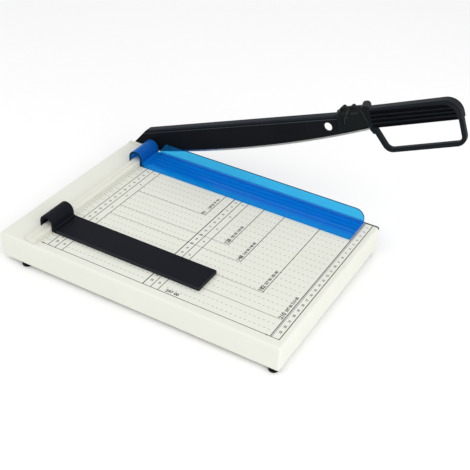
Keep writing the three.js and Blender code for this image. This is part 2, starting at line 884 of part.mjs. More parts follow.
function guardGeometry() {
  const front = -guardFromEdge - guardDepth;
  const finFront = -guardFromEdge - finThickness;
  const plateStart = clipRight + clipFoot + finThickness;
  const clip = alongY(
    clipOutline(guardThickness, plateStart + finThickness), front, -guardClipFromEdge,
  );
  const plate = block(plateStart, guardReach, front, -guardFromEdge, bedClearance, guardThickness);
  const fin = alongY(outline([
    [finStart, bedClearance],
    [guardReach, bedClearance],
    [guardReach, finHeight, finCorner],
    [finStart + finRamp, finHeight, finRamp / 2],
    [finStart, guardThickness],
  ]), finFront, -guardFromEdge);
  const ribs = spread(guardRibCount, front + guardRibMargin, finFront - guardRibMargin).map((y) => solid(
    block(
      plateStart + guardRibMargin, guardReach - guardRibMargin,
      y - guardRibWidth / 2, y + guardRibWidth / 2,
      guardThickness / 2, guardThickness + guardRibHeight,
    ),
  ));
  return geometryOf(joined(solid(clip), solid(plate), solid(fin), ...ribs));
}

// Assembly
const cutter = new THREE.Group();
cutter.add(piece('base_tray', trayGeometry(), creamPaint()));
for (const [row, y] of Object.entries(footRows)) {
  for (const [column, x] of Object.entries(footColumns)) {
    const foot = piece(`foot_${row}_${column}`, footGeometry(), blackRubber());
    foot.position.set(x, y, deskLevel);
    cutter.add(foot);
  }
}
cutter.add(piece('counter_blade', counterBladeGeometry(), blackPaint()));
cutter.add(piece('pivot_bracket', bracketGeometry(), creamPaint()));
cutter.add(piece('guide_rail', railGeometry(), creamPlastic()));

function wallScrew(name, x, z) {
  const screw = piece(name, screwGeometry(counterThickness + sheetThickness - screwTipGap), zincSteel());
  screw.position.set(x, innerWall - seatGap, z);
  cutter.add(screw);
}
counterScrews.forEach((x, i) => wallScrew(`counter_blade_screw_${i + 1}`, x, -counterScrewDrop));
bracketScrews.forEach((x, i) => wallScrew(`bracket_screw_${i + 1}`, x, -pivotDrop));
railScrews.forEach((y, i) => {
  const screw = piece(
    `rail_screw_${i + 1}`, screwGeometry(railScrewBite + sheetThickness - screwTipGap), zincSteel(),
  );
  screw.rotation.x = Math.PI / 2;
  screw.position.set(railMiddle, y, -sheetThickness - seatGap);
  cutter.add(screw);
});

function onBolt(mesh, y) {
  mesh.position.set(pivotAt, y, -pivotDrop);
  cutter.add(mesh);
}
const washerBore = boltRadius + seatGap;
const washer = () => ring(washerRadius, washerBore, washerThickness);
onBolt(piece('pivot_bolt', boltGeometry(), zincSteel()), 0);
onBolt(piece('pivot_washer', washer(), zincSteel()), bodyRear - seatGap - washerThickness);
onBolt(piece('spring_seat_washer', washer(), zincSteel()), innerWasherRear - washerThickness);
const spring = wireGeometry(springPoints(), springWire / 2, springSides);
onBolt(piece('pivot_spring', spring, springSteel()), springFront);
onBolt(piece('spring_end_washer', washer(), zincSteel()), endWasherFront);
onBolt(piece('pivot_nut', nutGeometry(), zincSteel()), nutFront);
console.log(`pivot_spring least gap to itself ${leastGap(springPoints(), springWire).toFixed(2)} mm`);

const arm = new THREE.Group();
arm.position.set(pivotAt, cutPlane, -pivotDrop);
arm.rotation.y = -raisedAngle;
arm.add(piece('cutting_blade', bladeGeometry(), blackPaint()));
arm.add(piece('handle_collar', collarGeometry(), blackPlastic()));
arm.add(piece('handle_grip', gripGeometry(), blackPlastic()));
handleScrewPlaces.forEach((u, i) => {
  const reach = collarRear - bladeFront - screwTipGap;
  const screw = piece(`handle_screw_${i + 1}`, screwGeometry(reach), zincSteel());
  screw.rotation.x = Math.PI;
  screw.position.set(u, collarRear + seatGap, handleScrewUp);
  arm.add(screw);
});
cutter.add(arm);

cutter.add(piece('paper_stop', stopGeometry(), blackPlastic()));
cutter.add(piece('safety_guard', guardGeometry(), blueClear()));

// The origin is the middle of the whole cutter's box, on the desk
const extent = new THREE.Box3().setFromObject(cutter, true);
const middle = extent.getCenter(new THREE.Vector3());
cutter.position.set(-middle.x, -middle.y, -extent.min.z);

export default cutter;
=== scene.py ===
"""Looks of a guillotine paper cutter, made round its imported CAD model.

Every piece is worked out in millimetres and placed in the row's frame, in metres. Base pieces use the
cutter's own axes, with X to the right and Y to the rear from the zero of the printed scale and Z up from
the bed. Arm pieces use the arm's axes: u along the arm from the bolt, y to the rear from the cut plane,
and v up across the arm.
"""

from __future__ import annotations

import logging
import math
from collections.abc import Callable, Sequence
from dataclasses import dataclass, field, replace
from enum import Enum

import bmesh
import bpy
import numpy as np
from mathutils import Matrix, Vector
from mathutils.geometry import delaunay_2d_cdt


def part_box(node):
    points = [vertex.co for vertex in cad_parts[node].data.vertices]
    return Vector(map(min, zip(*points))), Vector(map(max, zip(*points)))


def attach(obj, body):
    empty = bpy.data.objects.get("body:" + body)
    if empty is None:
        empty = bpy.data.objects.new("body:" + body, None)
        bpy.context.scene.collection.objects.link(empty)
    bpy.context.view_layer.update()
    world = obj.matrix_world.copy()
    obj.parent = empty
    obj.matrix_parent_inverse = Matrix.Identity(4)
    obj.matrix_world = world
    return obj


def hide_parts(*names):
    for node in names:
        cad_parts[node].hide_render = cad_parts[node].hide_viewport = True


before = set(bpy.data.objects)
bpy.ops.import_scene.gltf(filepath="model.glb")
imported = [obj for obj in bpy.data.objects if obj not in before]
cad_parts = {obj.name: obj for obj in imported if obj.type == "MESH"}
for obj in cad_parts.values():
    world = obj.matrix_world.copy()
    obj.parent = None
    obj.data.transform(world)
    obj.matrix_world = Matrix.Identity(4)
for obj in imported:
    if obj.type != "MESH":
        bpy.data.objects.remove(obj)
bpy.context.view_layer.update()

LOG = logging.getLogger("paper_cutter")
MM = 0.001
# Room in millimetres for rounding where faces are told apart by their place
HAIR = 0.02
PHOTO_SIZE = 470
Points = np.ndarray
Corner = tuple[float, ...]


class Body(Enum):
    """The CAD bodies that pieces ride on."""

    BASE = "base"
    ARM = "arm"
    STOP = "stop"
    GUARD = "guard"


class Along(Enum):
    """The axis that an outline is carried along: where its two coordinates and its depth go."""

    X = (1, 2, 0)
    Y = (0, 2, 1)
    Z = (0, 1, 2)


# Numbers


def even(value: float) -> Corner:
    """The same value along each of the three axes."""
    return (value, value, value)


def spread(*parts: Points | float) -> Points:
    """Points whose coordinates are the given arrays, all spread to one shape."""
    return np.stack(np.broadcast_arrays(*parts), -1)


def polar(radius: Points | float, angle: Points, *height: Points | float) -> Points:
    """Points radius (cos a, sin a), with their height where it is given."""
    return spread(radius * np.cos(angle), radius * np.sin(angle), *height)


def round_turn(sides: int) -> Points:
    """Angles of evenly spaced directions round one turn, from 0."""
    return np.linspace(0, 2 * np.pi, sides, endpoint=False)


def unit(vectors: Points) -> Points:
    """Each row at length 1."""
    return vectors / np.linalg.norm(vectors, axis=1, keepdims=True)


def smooth(share: Points) -> Points:
    """Smooth step 3 s^2 - 2 s^3 of a share s from 0 to 1."""
    return share**2 * (3 - 2 * share)


# Plane outlines


def arc(centre: Corner, radius: float, start: float, end: float, step: float = 6.0) -> Points:
    """Points of a circular arc: centre + radius (cos a, sin a), for a from start to end in degrees.

    Args:
        centre: its two coordinates.
        radius: of the arc.
        start: first angle.
        end: last angle.
        step: largest angle between points.

    Returns:
        An array of points, both ends included.
    """
    count = max(2, math.ceil(abs(end - start) / step) + 1)
    return polar(radius, np.radians(np.linspace(start, end, count))) + centre


def rounded(corners: Sequence[Corner], step: float = 6.0) -> Points:
    """Closed outline whose corners (x, y, radius) are rounded with arcs that touch both sides.

    The arc's centre lies on the bisector, radius / sin(half angle) from the corner.

    Args:
        corners: in order, each with a radius where it is rounded.
        step: largest angle between an arc's points, in degrees.

    Returns:
        The outline's points.
    """
    places = np.array([corner[:2] for corner in corners], float)
    stretches = []
    for i, corner in enumerate(corners):
        radius = corner[2] if len(corner) > 2 else 0.0
        here, back, on = places[i], places[i - 1] - places[i], places[(i + 1) % len(places)] - places[i]
        if radius <= 0:
            stretches.append(here[None])
            continue
        back, on = back / np.linalg.norm(back), on / np.linalg.norm(on)
        half = math.acos(float(np.clip(back @ on, -1, 1))) / 2
        middle = (back + on) / np.linalg.norm(back + on)
        centre = here + middle * radius / math.sin(half)
        first = here + back * radius / math.tan(half) - centre
        turn = np.sign(on[0] * back[1] - on[1] * back[0]) * (math.pi - 2 * half)
        count = max(2, math.ceil(abs(math.degrees(turn)) / step) + 1)
        angle = math.atan2(first[1], first[0]) + np.linspace(0, turn, count)
        stretches.append(centre + polar(radius, angle))
    return np.vstack(stretches)


def circle(centre: Corner, radius: float, count: int = 40, clockwise: bool = False) -> Points:
    """A closed circle of count points, clockwise for a hole."""
    return polar(radius, round_turn(count) * (-1 if clockwise else 1)) + centre


def inset(outline: Points, distance: float | Points) -> Points:
    """Moves each point to the left of the outline's direction, by the mitre of its two sides.

    Args:
        outline: closed, with its solid on the left.
        distance: how far each side moves inwards.

    Returns:
        The moved points.
    """
    sides = unit(np.roll(outline, -1, 0) - outline)
    after = spread(-sides[:, 1], sides[:, 0])
    before = np.roll(after, 1, 0)
    share = 1 + (before * after).sum(1)
    return outline + (np.broadcast_to(distance, share.shape) / share)[:, None] * (before + after)


def inside(places: Points, outlines: Sequence[Points]) -> Points:
    """True where a place is inside the outlines by the even-odd rule.

    Args:
        places: points to test.
        outlines: closed outlines, holes among them.

    Returns:
        An array of booleans.
    """
    odd = np.zeros(len(places), bool)
    for outline in outlines:
        x0, y0 = outline.T
        x1, y1 = np.roll(outline, -1, 0).T
        px, py = places[:, :1], places[:, 1:]
        crosses = (y0 > py) != (y1 > py)
        at = x0 + (py - y0) * (x1 - x0) / np.where(y1 == y0, 1.0, y1 - y0)
        odd ^= (np.sum(crosses & (px < at), 1) % 2).astype(bool)
    return odd


def distance_to(places: Points, outline: Points) -> Points:
    """Least distance from each place to a closed outline's sides.

    Args:
        places: points to measure from.
        outline: its points.

    Returns:
        One distance for each place.
    """
    along = np.roll(outline, -1, 0) - outline
    offset = places[:, None] - outline[None]
    share = np.clip((offset * along).sum(2) / np.maximum((along**2).sum(1), 1e-12), 0, 1)
    return np.linalg.norm(offset - share[..., None] * along, axis=2).min(1)


# Solid forms


@dataclass
class Form:
    """A closed mesh in millimetres, with the finish number of each face."""

    points: Points
    faces: list[tuple[int, ...]]
    slots: Points

    def centres(self) -> Points:
        """The mean of each face's points."""
        return np.array([self.points[list(face)].mean(0) for face in self.faces])

    def facing_out(self) -> Form:
        """Turns the faces round if the volume that they close comes out negative.

        Returns:
            The same form.
        """
        volume = 0.0
        for size in {len(face) for face in self.faces}:
            ring = self.points[np.array([face for face in self.faces if len(face) == size])]
            for k in range(1, size - 1):
                volume += np.einsum("ij,ij->", ring[:, 0], np.cross(ring[:, k], ring[:, k + 1]))
        if volume < 0:
            self.faces = [face[::-1] for face in self.faces]
        return self

    def moved(self, change: Callable[[Points], Points]) -> Form:
        """The same faces over changed points."""
        return Form(change(self.points), list(self.faces), self.slots).facing_out()


def round_faces(index: Points) -> list[tuple[int, ...]]:
    """Four-sided faces between the rows of a grid of point numbers, whose columns go round.

    Args:
        index: point numbers, one row after another.

    Returns:
        The faces, each as four point numbers.
    """
    index = np.hstack([index, index[:, :1]])
    quads = np.stack([index[:-1, :-1], index[:-1, 1:], index[1:, 1:], index[1:, :-1]], -1)
    return [tuple(quad) for quad in quads.reshape(-1, 4).tolist()]


def grid_form(grid: Points, round_rows: bool = False) -> Form:
    """Closes a grid of rows into a form. Its columns go round, and its end rows are capped.

    Args:
        grid: rows by columns by three coordinates.
        round_rows: whether the last row joins the first, which leaves no ends to cap.

    Returns:
        The form, facing outwards.
    """
    rows, columns = grid.shape[:2]
    index = np.arange(rows * columns).reshape(rows, columns)
    if round_rows:
        index = np.vstack([index, index[:1]])
    faces = round_faces(index)
    if not round_rows:
        faces.append(tuple(range(columns - 1, -1, -1)))
        faces.append(tuple(range((rows - 1) * columns, rows * columns)))
    return Form(grid.reshape(-1, 3), faces, np.zeros(len(faces))).facing_out()


def lathe_form(
    profile: Points, sides: int = 40, bumps: Callable[[Points, Points], Points] | None = None
) -> Form:
    """Turns a profile (radius, height) round the Z axis.

    A point is (r cos a, r sin a, h), where bumps may add to r and h from the angle and the profile.

    Args:
        profile: from one pole or rim to the other.
        sides: how many points go round.
        bumps: gives an array (sides, profile, 2) of changes to radius and height.

    Returns:
        The closed form.
    """
    angle = round_turn(sides)
    turned = np.repeat(np.asarray(profile, float)[:, None], sides, 1)
    if bumps is not None:
        turned = turned + bumps(angle, turned)
    return grid_form(polar(turned[..., 0], angle, turned[..., 1]))


def ring_form(profile: Points, sides: int = 48) -> Form:
    """Turns a closed profile (radius, height) round the Z axis, as for a washer."""
    radius, height = profile.T
    return grid_form(polar(radius, round_turn(sides)[:, None], height), round_rows=True)


def edge_profile(low: float, high: float, radius: float, steps: int = 3) -> Points:
    """(depth, inset) of the rings of a plate whose edges are quarter circles.

    Near a face the depth is radius (1 - cos a) and the inset is radius (1 - sin a).

    Args:
        low: depth of the first face.
        high: depth of the second face.
        radius: of both edges.
        steps: of each quarter circle.

    Returns:
        One row for each ring.
    """
    angle = np.linspace(0, np.pi / 2, steps + 1)
    depth, shift = radius * (1 - np.cos(angle)), radius * (1 - np.sin(angle))
    return np.vstack([spread(low + depth, shift), spread(high - depth, shift)[::-1]])


def filled(outlines: Sequence[Points], marks: Points | None = None) -> tuple[Points, Points]:
    """Fills the room between outlines with triangles.

    Args:
        outlines: closed outlines, whose points come first in the result, in order.
        marks: an open line inside that the triangles must follow.

    Returns:
        The added points, and the triangles, counted through the outlines' points and then these.
    """
    sizes = [len(outline) for outline in outlines]
    starts = np.cumsum([0, *sizes])
    edges = [
        (start + k, start + (k + 1) % size)
        for start, size in zip(starts[:-1], sizes, strict=True)
        for k in range(size)
    ]
    added = np.zeros((0, 2)) if marks is None else marks
    edges += [(starts[-1] + k, starts[-1] + k + 1) for k in range(len(added) - 1)]
    places = np.vstack([*outlines, added])
    made = delaunay_2d_cdt([Vector(place) for place in places], edges, [], 0, 1e-7, True)
    known = np.array([ids[0] for ids in made[3]])
    triangles = known[np.array(made[2])]
    kept = inside(places[triangles].mean(1), outlines)
    return added, triangles[kept]


def plate_form(
    outlines: Sequence[Points], profile: Points, along: Along, marks: Points | None = None
) -> Form:
    """Carries outlines through the rings of a profile, and fills both faces.

    Args:
        outlines: the outer one anticlockwise, then holes clockwise.
        profile: (depth, inset) of each ring, or of each ring and point of a single outline.
        along: the axis of the depth.
        marks: a line that the triangles of the first face follow.

    Returns:
        The closed form.
    """
    points, faces, start = [], [], 0
    rims: dict[int, list[Points]] = {0: [], len(profile) - 1: []}
    indices: dict[int, list[Points]] = {0: [], len(profile) - 1: []}
    for which, outline in enumerate(outlines):
        size = len(outline)
        rings = []
        for k, row in enumerate(profile):
            pointwise = row.ndim == 2
            depth, shift = row.T if pointwise and which == 0 else (row[-1] if pointwise else row)
            ring = inset(outline, shift)
            rings.append(spread(*ring.T, depth))
            if k in rims:
                rims[k].append(ring)
                indices[k].append(start + k * size + np.arange(size))
        points.append(np.vstack(rings))
        faces += round_faces((start + np.arange(len(profile) * size)).reshape(len(profile), size))
        start += len(profile) * size
    for k in rims:
        added, triangles = filled(rims[k], marks if k == 0 else None)
        names = np.concatenate([*indices[k], start + np.arange(len(added))])
        points.append(spread(*added.T, points[0][k * len(outlines[0]), 2]))
        start += len(added)
        flipped = triangles[:, ::-1] if k == 0 else triangles
        faces += [tuple(triangle) for triangle in names[flipped].tolist()]
    flat = np.vstack(points)
    placed = np.empty_like(flat)
    placed[:, list(along.value)] = flat
    return Form(placed, faces, np.zeros(len(faces))).facing_out()


def swept_form(path: Points, across: Points, section: Points) -> Form:
    """Carries a section along a path: path + across n + y, for each (n, y) of the section.

    Args:
        path: points (u, y, v) of the middle line.
        across: the unit direction across the path at each of its points.
        section: closed outline (n, y).

    Returns:
        The closed form.
    """
    grid = path[:, None] + across[:, None] * section[None, :, :1]
    grid[..., 1] += section[None, :, 1]
    return grid_form(grid)


def bead_form(path: Points, radius: float, sides: int = 10, tip: float = 0.15) -> Form:
    """A round bead along a path in space, whose ends are domed.

    Its radius is r sqrt(1 - (1 - d / r)^2) within r of an end, where d is the distance to that end.

    Args:
        path: corner points (u, y, v); they are joined by short straight steps.
        radius: of the bead.
        sides: points round it.
        tip: angle from the pole of a dome at which its rings begin.

    Returns:
        The closed form.
    """
    corners = np.asarray(path, float)
    lengths = np.concatenate([[0], np.cumsum(np.linalg.norm(np.diff(corners, axis=0), axis=1))])
    ends = radius * (1 - np.cos(np.linspace(tip, np.pi / 2, 6)))
    middle = np.linspace(radius, lengths[-1] - radius, 12)
    at = np.concatenate([ends, lengths[1:-1], middle, lengths[-1] - ends])
    at = np.unique(np.round(at, decimals=6))
    line = spread(*[np.interp(at, lengths, column) for column in corners.T])
    along = unit(np.gradient(line, at, axis=0))
    side = unit(np.cross(along, (0.0, 1.0, 0.0)))
    over = np.cross(side, along)
    near = np.clip(np.minimum(at, lengths[-1] - at) / radius, 0, 1)
    thick = radius * np.sqrt(1 - (1 - near) ** 2)
    angle = round_turn(sides)[:, None]
    spoke = side[:, None] * np.cos(angle) + over[:, None] * np.sin(angle)
    return grid_form(line[:, None] + thick[:, None, None] * spoke)


def box_forms(boxes: Points) -> Form:
    """One form of many small boxes, each (x0, x1, y0, y1, z0, z1).

    Args:
        boxes: one row of six numbers for each box.

    Returns:
        One form, with six faces for each box.
    """
    picks = np.array([[i, j, k] for k in (0, 1) for j in (0, 1) for i in (0, 1)])
    points = spread(*[boxes[:, axis * 2 + picks[:, axis]] for axis in range(3)])
    cube = np.array([
        [0, 2, 3, 1], [4, 5, 7, 6], [0, 1, 5, 4], [2, 6, 7, 3], [0, 4, 6, 2], [1, 3, 7, 5],
    ])
    faces = (cube[None] + 8 * np.arange(len(boxes))[:, None, None]).reshape(-1, 4)
    return Form(points.reshape(-1, 3), [tuple(face) for face in faces.tolist()], np.zeros(len(faces)))


def read_vectors(items: bpy.types.bpy_prop_collection, name: str) -> Points:
    """One row of three numbers for each of a mesh's vertices or faces.

    Args:
        items: the vertices or faces.
        name: of what is read, such as "co".

    Returns:
        An array (items, 3).
    """
    values = np.empty(len(items) * 3)
    items.foreach_get(name, values)
    return values.reshape(-1, 3)


# Places


@dataclass(frozen=True)
class Place:
    """Takes a form's millimetres to the row's frame in metres: origin + axes times the point."""

    origin: tuple[float, float, float]
    tilt: float = 0.0

    def apply(self, points: Points) -> Points:
        """Turns the points up by tilt about Y, moves them to the origin and scales them to metres.

        Args:
            points: one row (x, y, z) for each, in millimetres.

        Returns:
            The points in metres.
        """
        cos, sin = math.cos(self.tilt), math.sin(self.tilt)
        turn = np.array([[cos, 0, -sin], [0, 1, 0], [sin, 0, cos]])
        return (points @ turn.T + np.asarray(self.origin)) * MM


# Finishes

# The values between which nearly all of a noise lies
NOISE_RANGE = (0.3, 0.7)


@dataclass
class Shader:
    """A material under construction: its tree, its Principled shader and its place input."""

    name: str
    material: bpy.types.Material = field(init=False)

    def __post_init__(self) -> None:
        """Makes the material with its Object coordinates."""
        self.material = bpy.data.materials.new(self.name)
        self.material.use_nodes = True
        self.tree = self.material.node_tree
        self.surface = self.tree.nodes["Principled BSDF"]
        self.output = self.tree.nodes["Material Output"]
        self.place = self.tree.nodes.new("ShaderNodeTexCoord").outputs["Object"]

    def node(self, kind: str, **settings: object) -> bpy.types.Node:
        """Adds a node and sets its properties, or its sockets where they have that name.

        Args:
            kind: Blender's name for the type of node.
            settings: values by property or socket name, with underscores for a socket's spaces.

        Returns:
            The new node.
        """
        node = self.tree.nodes.new(kind)
        for name, value in settings.items():
            if hasattr(node, name):
                setattr(node, name, value)
            else:
                node.inputs[name.replace("_", " ").title()].default_value = value
        return node

    def link(self, source: bpy.types.NodeSocket, target: bpy.types.NodeSocket) -> None:
        """Joins two sockets."""
        self.tree.links.new(source, target)

    def mapped(self, scale: Corner, tilt: float = 0.0) -> bpy.types.NodeSocket:
        """Object coordinates turned about Y by tilt, then stretched.

        Args:
            scale: the stretch along each axis.
            tilt: the turn, in radians.

        Returns:
            The socket with the changed coordinates.
        """
        turned = self.node("ShaderNodeMapping", Rotation=(0.0, tilt, 0.0))
        stretched = self.node("ShaderNodeMapping", Scale=scale)
        self.link(self.place, turned.inputs["Vector"])
        self.link(turned.outputs["Vector"], stretched.inputs["Vector"])
        return stretched.outputs["Vector"]

    def noise(self, scale: Corner, detail: float = 3.0, tilt: float = 0.0) -> bpy.types.NodeSocket:
        """Noise with that many features to the metre along each axis.

        Args:
            scale: features to the metre, along each axis.
            detail: how much finer noise it carries.
            tilt: turn of its axes about Y, in radians.

        Returns:
            The socket with the noise.
        """
        texture = self.node("ShaderNodeTexNoise", scale=1.0, detail=detail)
        self.link(self.mapped(scale, tilt), texture.inputs["Vector"])
        return texture.outputs["Fac"]

    def ranged(self, factor: bpy.types.NodeSocket, low: float, high: float) -> bpy.types.NodeSocket:
        """Takes the middle of a noise's range to the numbers from low to high.

        Args:
            factor: the noise.
            low: the number at the start of the range.
            high: the number at its end.

        Returns:
            The socket with the number.
        """
        first, last = NOISE_RANGE
        change = self.node("ShaderNodeMapRange", From_Min=first, From_Max=last, To_Min=low, To_Max=high)
        self.link(factor, change.inputs["Value"])
        return change.outputs["Result"]

    def blend(self, factor: bpy.types.NodeSocket, first: Corner, second: Corner) -> bpy.types.NodeSocket:
        """A colour between two, over the middle of a noise's range.

        Args:
            factor: the noise.
            first: the colour at the start of the range.
            second: the colour at its end.

        Returns:
            The socket with the colour.
        """
        ramp = self.node("ShaderNodeValToRGB")
        stops = zip(ramp.color_ramp.elements, NOISE_RANGE, (first, second), strict=True)
        for stop, position, colour in stops:
            stop.position = position
            stop.color = (*colour, 1.0)
        self.link(factor, ramp.inputs["Fac"])
        return ramp.outputs["Color"]

    def bump(self, layers: Sequence[tuple[bpy.types.NodeSocket, float]]) -> None:
        """Raises the surface by each layer's noise, in metres.

        Args:
            layers: (noise, height) of each layer.
        """
        normal = None
        for height, distance in layers:
            node = self.node("ShaderNodeBump", Strength=1.0, Distance=distance)
            self.link(height, node.inputs["Height"])
            if normal is not None:
                self.link(normal, node.inputs["Normal"])
            normal = node.outputs["Normal"]
        if normal is not None:
            self.link(normal, self.surface.inputs["Normal"])

    def set(self, **values: object) -> None:
        """Sets the Principled shader's own sockets."""
        for name, value in values.items():
            self.surface.inputs[name.replace("_", " ")].default_value = value


@dataclass(frozen=True)
class Finish:
    """A surface: two close colours that drift into each other, a gloss that varies, and a fine relief.

    Sizes of drift and grain are in features to the metre, and heights in metres.
    """

    name: str
    colour: Corner
    drift_colour: Corner
    drift: Corner
    gloss: tuple[float, float]
    grain: Corner
    grain_height: float
    wave: Corner = even(90.0)
    wave_height: float = 0.0
    metallic: float = 0.0
    specular: float = 0.5
    tilt: float = 0.0

    def build(self) -> bpy.types.Material:
        """Makes the material's nodes.

        Returns:
            The material.
        """
        shader = Shader(self.name)
        drift = shader.noise(self.drift, tilt=self.tilt)
        grain = shader.noise(self.grain, 2.0, self.tilt)
        colour = shader.blend(drift, self.colour, self.drift_colour)
        shader.link(colour, shader.surface.inputs["Base Color"])
        shader.link(shader.ranged(grain, *self.gloss), shader.surface.inputs["Roughness"])
        shader.set(Metallic=self.metallic, Specular_IOR_Level=self.specular)
        layers = [(grain, self.grain_height)]
        if self.wave_height:
            layers.append((shader.noise(self.wave, 1.0, self.tilt), self.wave_height))
        shader.bump(layers)
        return shader.material


@dataclass(frozen=True)
class ClearFinish:
    """Tinted clear plastic: each surface lets light through in its tint, and shines at a slant.

    The share of sheen is solidity + slant_sheen (1 - cos)^slant_power, alike for rays that enter and
    rays that leave.
    """

    name: str
    tint: Corner
    body: Corner
    solidity: float
    specular: float = 0.15
    slant_sheen: float = 0.9
    slant_power: float = 5.0
    roughness: float = 0.12
    paling: float = 1.04
    haze: Corner = even(14.0)
    ripple: Corner = (30.0, 120.0, 120.0)
    ripple_height: float = 0.00012

    def build(self) -> bpy.types.Material:
        """Mixes a tinted see-through shader with a glossy one by slant plus a fixed share.

        Returns:
            The material.
        """
        shader = Shader(self.name)
        clear = shader.node("ShaderNodeBsdfTransparent")
        paler = tuple(min(1.0, part * self.paling) for part in self.tint)
        shader.link(shader.blend(shader.noise(self.haze, 2.0), self.tint, paler), clear.inputs["Color"])
        shader.set(
            Base_Color=(*self.body, 1.0), Roughness=self.roughness, Specular_IOR_Level=self.specular
        )
        shader.bump([(shader.noise(self.ripple, 1.0), self.ripple_height)])
        slant = shader.node("ShaderNodeLayerWeight", Blend=0.5)
        steep = shader.node("ShaderNodeMath", operation="POWER")
        steep.inputs[1].default_value = self.slant_power
        total = shader.node("ShaderNodeMath", operation="MULTIPLY_ADD", use_clamp=True)
        total.inputs[1].default_value = self.slant_sheen
        total.inputs[2].default_value = self.solidity
        mixed = shader.node("ShaderNodeMixShader")
        for source, target in (
            (slant.outputs["Facing"], steep.inputs[0]),
            (steep.outputs["Value"], total.inputs[0]),
            (total.outputs["Value"], mixed.inputs["Fac"]),
            (clear.outputs["BSDF"], mixed.inputs[1]),
            (shader.surface.outputs["BSDF"], mixed.inputs[2]),
            (mixed.outputs["Shader"], shader.output.inputs["Surface"]),
        ):
            shader.link(source, target)
        return shader.material


def recoloured(
    finish: Finish, name: str, colour: Corner, drift_colour: Corner, **changes: object
) -> Finish:
    """The same surface with another name and other colours, and other changes where they are given."""
    return replace(finish, name=name, colour=colour, drift_colour=drift_colour, **changes)


ARM_TILT = math.radians(20.9)

CREAM_PAINT = Finish(
    "cream_paint", (0.735, 0.74, 0.67), (0.71, 0.715, 0.64), even(16.0), (0.34, 0.46),
    even(700.0), 0.00001, wave_height=0.00003, specular=0.45,
)
CREAM_PLASTIC = Finish(
    "cream_plastic", (0.72, 0.72, 0.645), (0.68, 0.68, 0.595), (60.0, 4.0, 60.0), (0.38, 0.5),
    (900.0, 12.0, 900.0), 0.00002, specular=0.45,
)
BLADE_PAINT = Finish(
    "blade_paint", (0.0066, 0.0076, 0.009), (0.008, 0.0092, 0.0108), even(24.0), (0.34, 0.44),
    even(900.0), 0.000012, wave_height=0.00003, specular=0.03,
)
# Painted light: the flange and fold, the same black paint as the blade, coloured lighter and bluer where
# light falls on them
LIT_FLANGE_PAINT = recoloured(
    BLADE_PAINT, "flange_painted_light", (0.013, 0.0175, 0.023), (0.016, 0.021, 0.027), gloss=(0.42, 0.5),
)
# Painted highlight: a pale line along the hem below the fold, where the fold catches the light
FOLD_HIGHLIGHT_PAINT = recoloured(
    BLADE_PAINT, "fold_painted_highlight", (0.034, 0.041, 0.05), (0.042, 0.05, 0.06), gloss=(0.4, 0.5),
    wave_height=0.0, specular=0.05,
)
GROUND_STEEL = Finish(
    "ground_steel", (0.4, 0.41, 0.42), (0.5, 0.5, 0.51), (900.0, 30.0, 60.0), (0.22, 0.38),
    (2400.0, 60.0, 60.0), 0.00001, metallic=1.0, tilt=ARM_TILT,
)
COLLAR_PLASTIC = Finish(
    "collar_plastic", (0.0052, 0.0072, 0.0082), (0.0066, 0.0088, 0.0098), even(40.0), (0.42, 0.54),
    even(1500.0), 0.00003, wave_height=0.00002, specular=0.08,
)
# Painted highlight: the collar's beads along its ridge, hook and edges, coloured paler than the collar
# where light catches them
COLLAR_HIGHLIGHT = recoloured(
    COLLAR_PLASTIC, "collar_painted_highlight", (0.014, 0.0185, 0.0205), (0.018, 0.023, 0.025),
    gloss=(0.42, 0.52), grain_height=0.00002, wave_height=0.0, specular=0.12,
)
# Painted shade: the groove beside the collar's hook and the grip's sunk recess, coloured darker than the
# plastic where shade falls
RECESS_SHADE = recoloured(
    COLLAR_PLASTIC, "recess_painted_shade", (0.003, 0.0036, 0.0048), (0.0038, 0.0045, 0.006),
    gloss=(0.5, 0.6), specular=0.03,
)
GRIP_PLASTIC = recoloured(
    COLLAR_PLASTIC, "grip_plastic", (0.0062, 0.0088, 0.0122), (0.0076, 0.0105, 0.0145),
    gloss=(0.4, 0.52), specular=0.07,
)
STOP_PLASTIC = recoloured(
    COLLAR_PLASTIC, "stop_plastic", (0.0068, 0.0082, 0.0118), (0.0082, 0.0098, 0.0138),
    drift=even(30.0), gloss=(0.46, 0.58), grain_height=0.00002, wave_height=0.00004, specular=0.05,
)
# Painted highlight: the stop's side walls and rounded edges, coloured paler than its top where light
# catches them
STOP_SIDE_HIGHLIGHT = recoloured(STOP_PLASTIC, "stop_edge", (0.0185, 0.0225, 0.0265), (0.0225, 0.0265, 0.031))
RUBBER = Finish(
    "black_rubber", even(0.004), even(0.007), even(300.0), (0.75, 0.9),
    even(2600.0), 0.00004, specular=0.08,
)
ZINC = Finish(
    "zinc_plate", (0.56, 0.58, 0.6), (0.66, 0.65, 0.6), even(160.0), (0.24, 0.4),
    even(1800.0), 0.00001, metallic=1.0,
)
SPRING_STEEL = Finish(
    "spring_steel", (0.32, 0.32, 0.34), (0.44, 0.43, 0.42), even(300.0), (0.25, 0.4),
    even(2600.0), 0.00001, metallic=1.0,
)
INK = Finish(
    "scale_ink", (0.014, 0.014, 0.013), (0.022, 0.022, 0.02), even(500.0), (0.5, 0.65),
    even(2600.0), 0.000002,
)
PALE_INK = recoloured(INK, "pale_ink", (0.26, 0.26, 0.22), (0.33, 0.33, 0.28))
SHADE_INK = recoloured(INK, "shade_ink", (0.43, 0.43, 0.41), (0.49, 0.49, 0.46))
FLOOR_PAPER = Finish(
    "floor_paper", even(0.96), even(0.95), even(2.0), (0.8, 0.9), even(300.0), 0.00001, specular=0.1,
)
CLEAR_BLUE = ClearFinish("clear_blue", (0.24, 0.73, 0.91), (0.04, 0.46, 0.92), 0.13, 0.5)
CLEAR_BLUE_RIM = ClearFinish("clear_blue_rim", (0.03, 0.16, 0.3), (0.004, 0.035, 0.085), 0.85, 0.05)
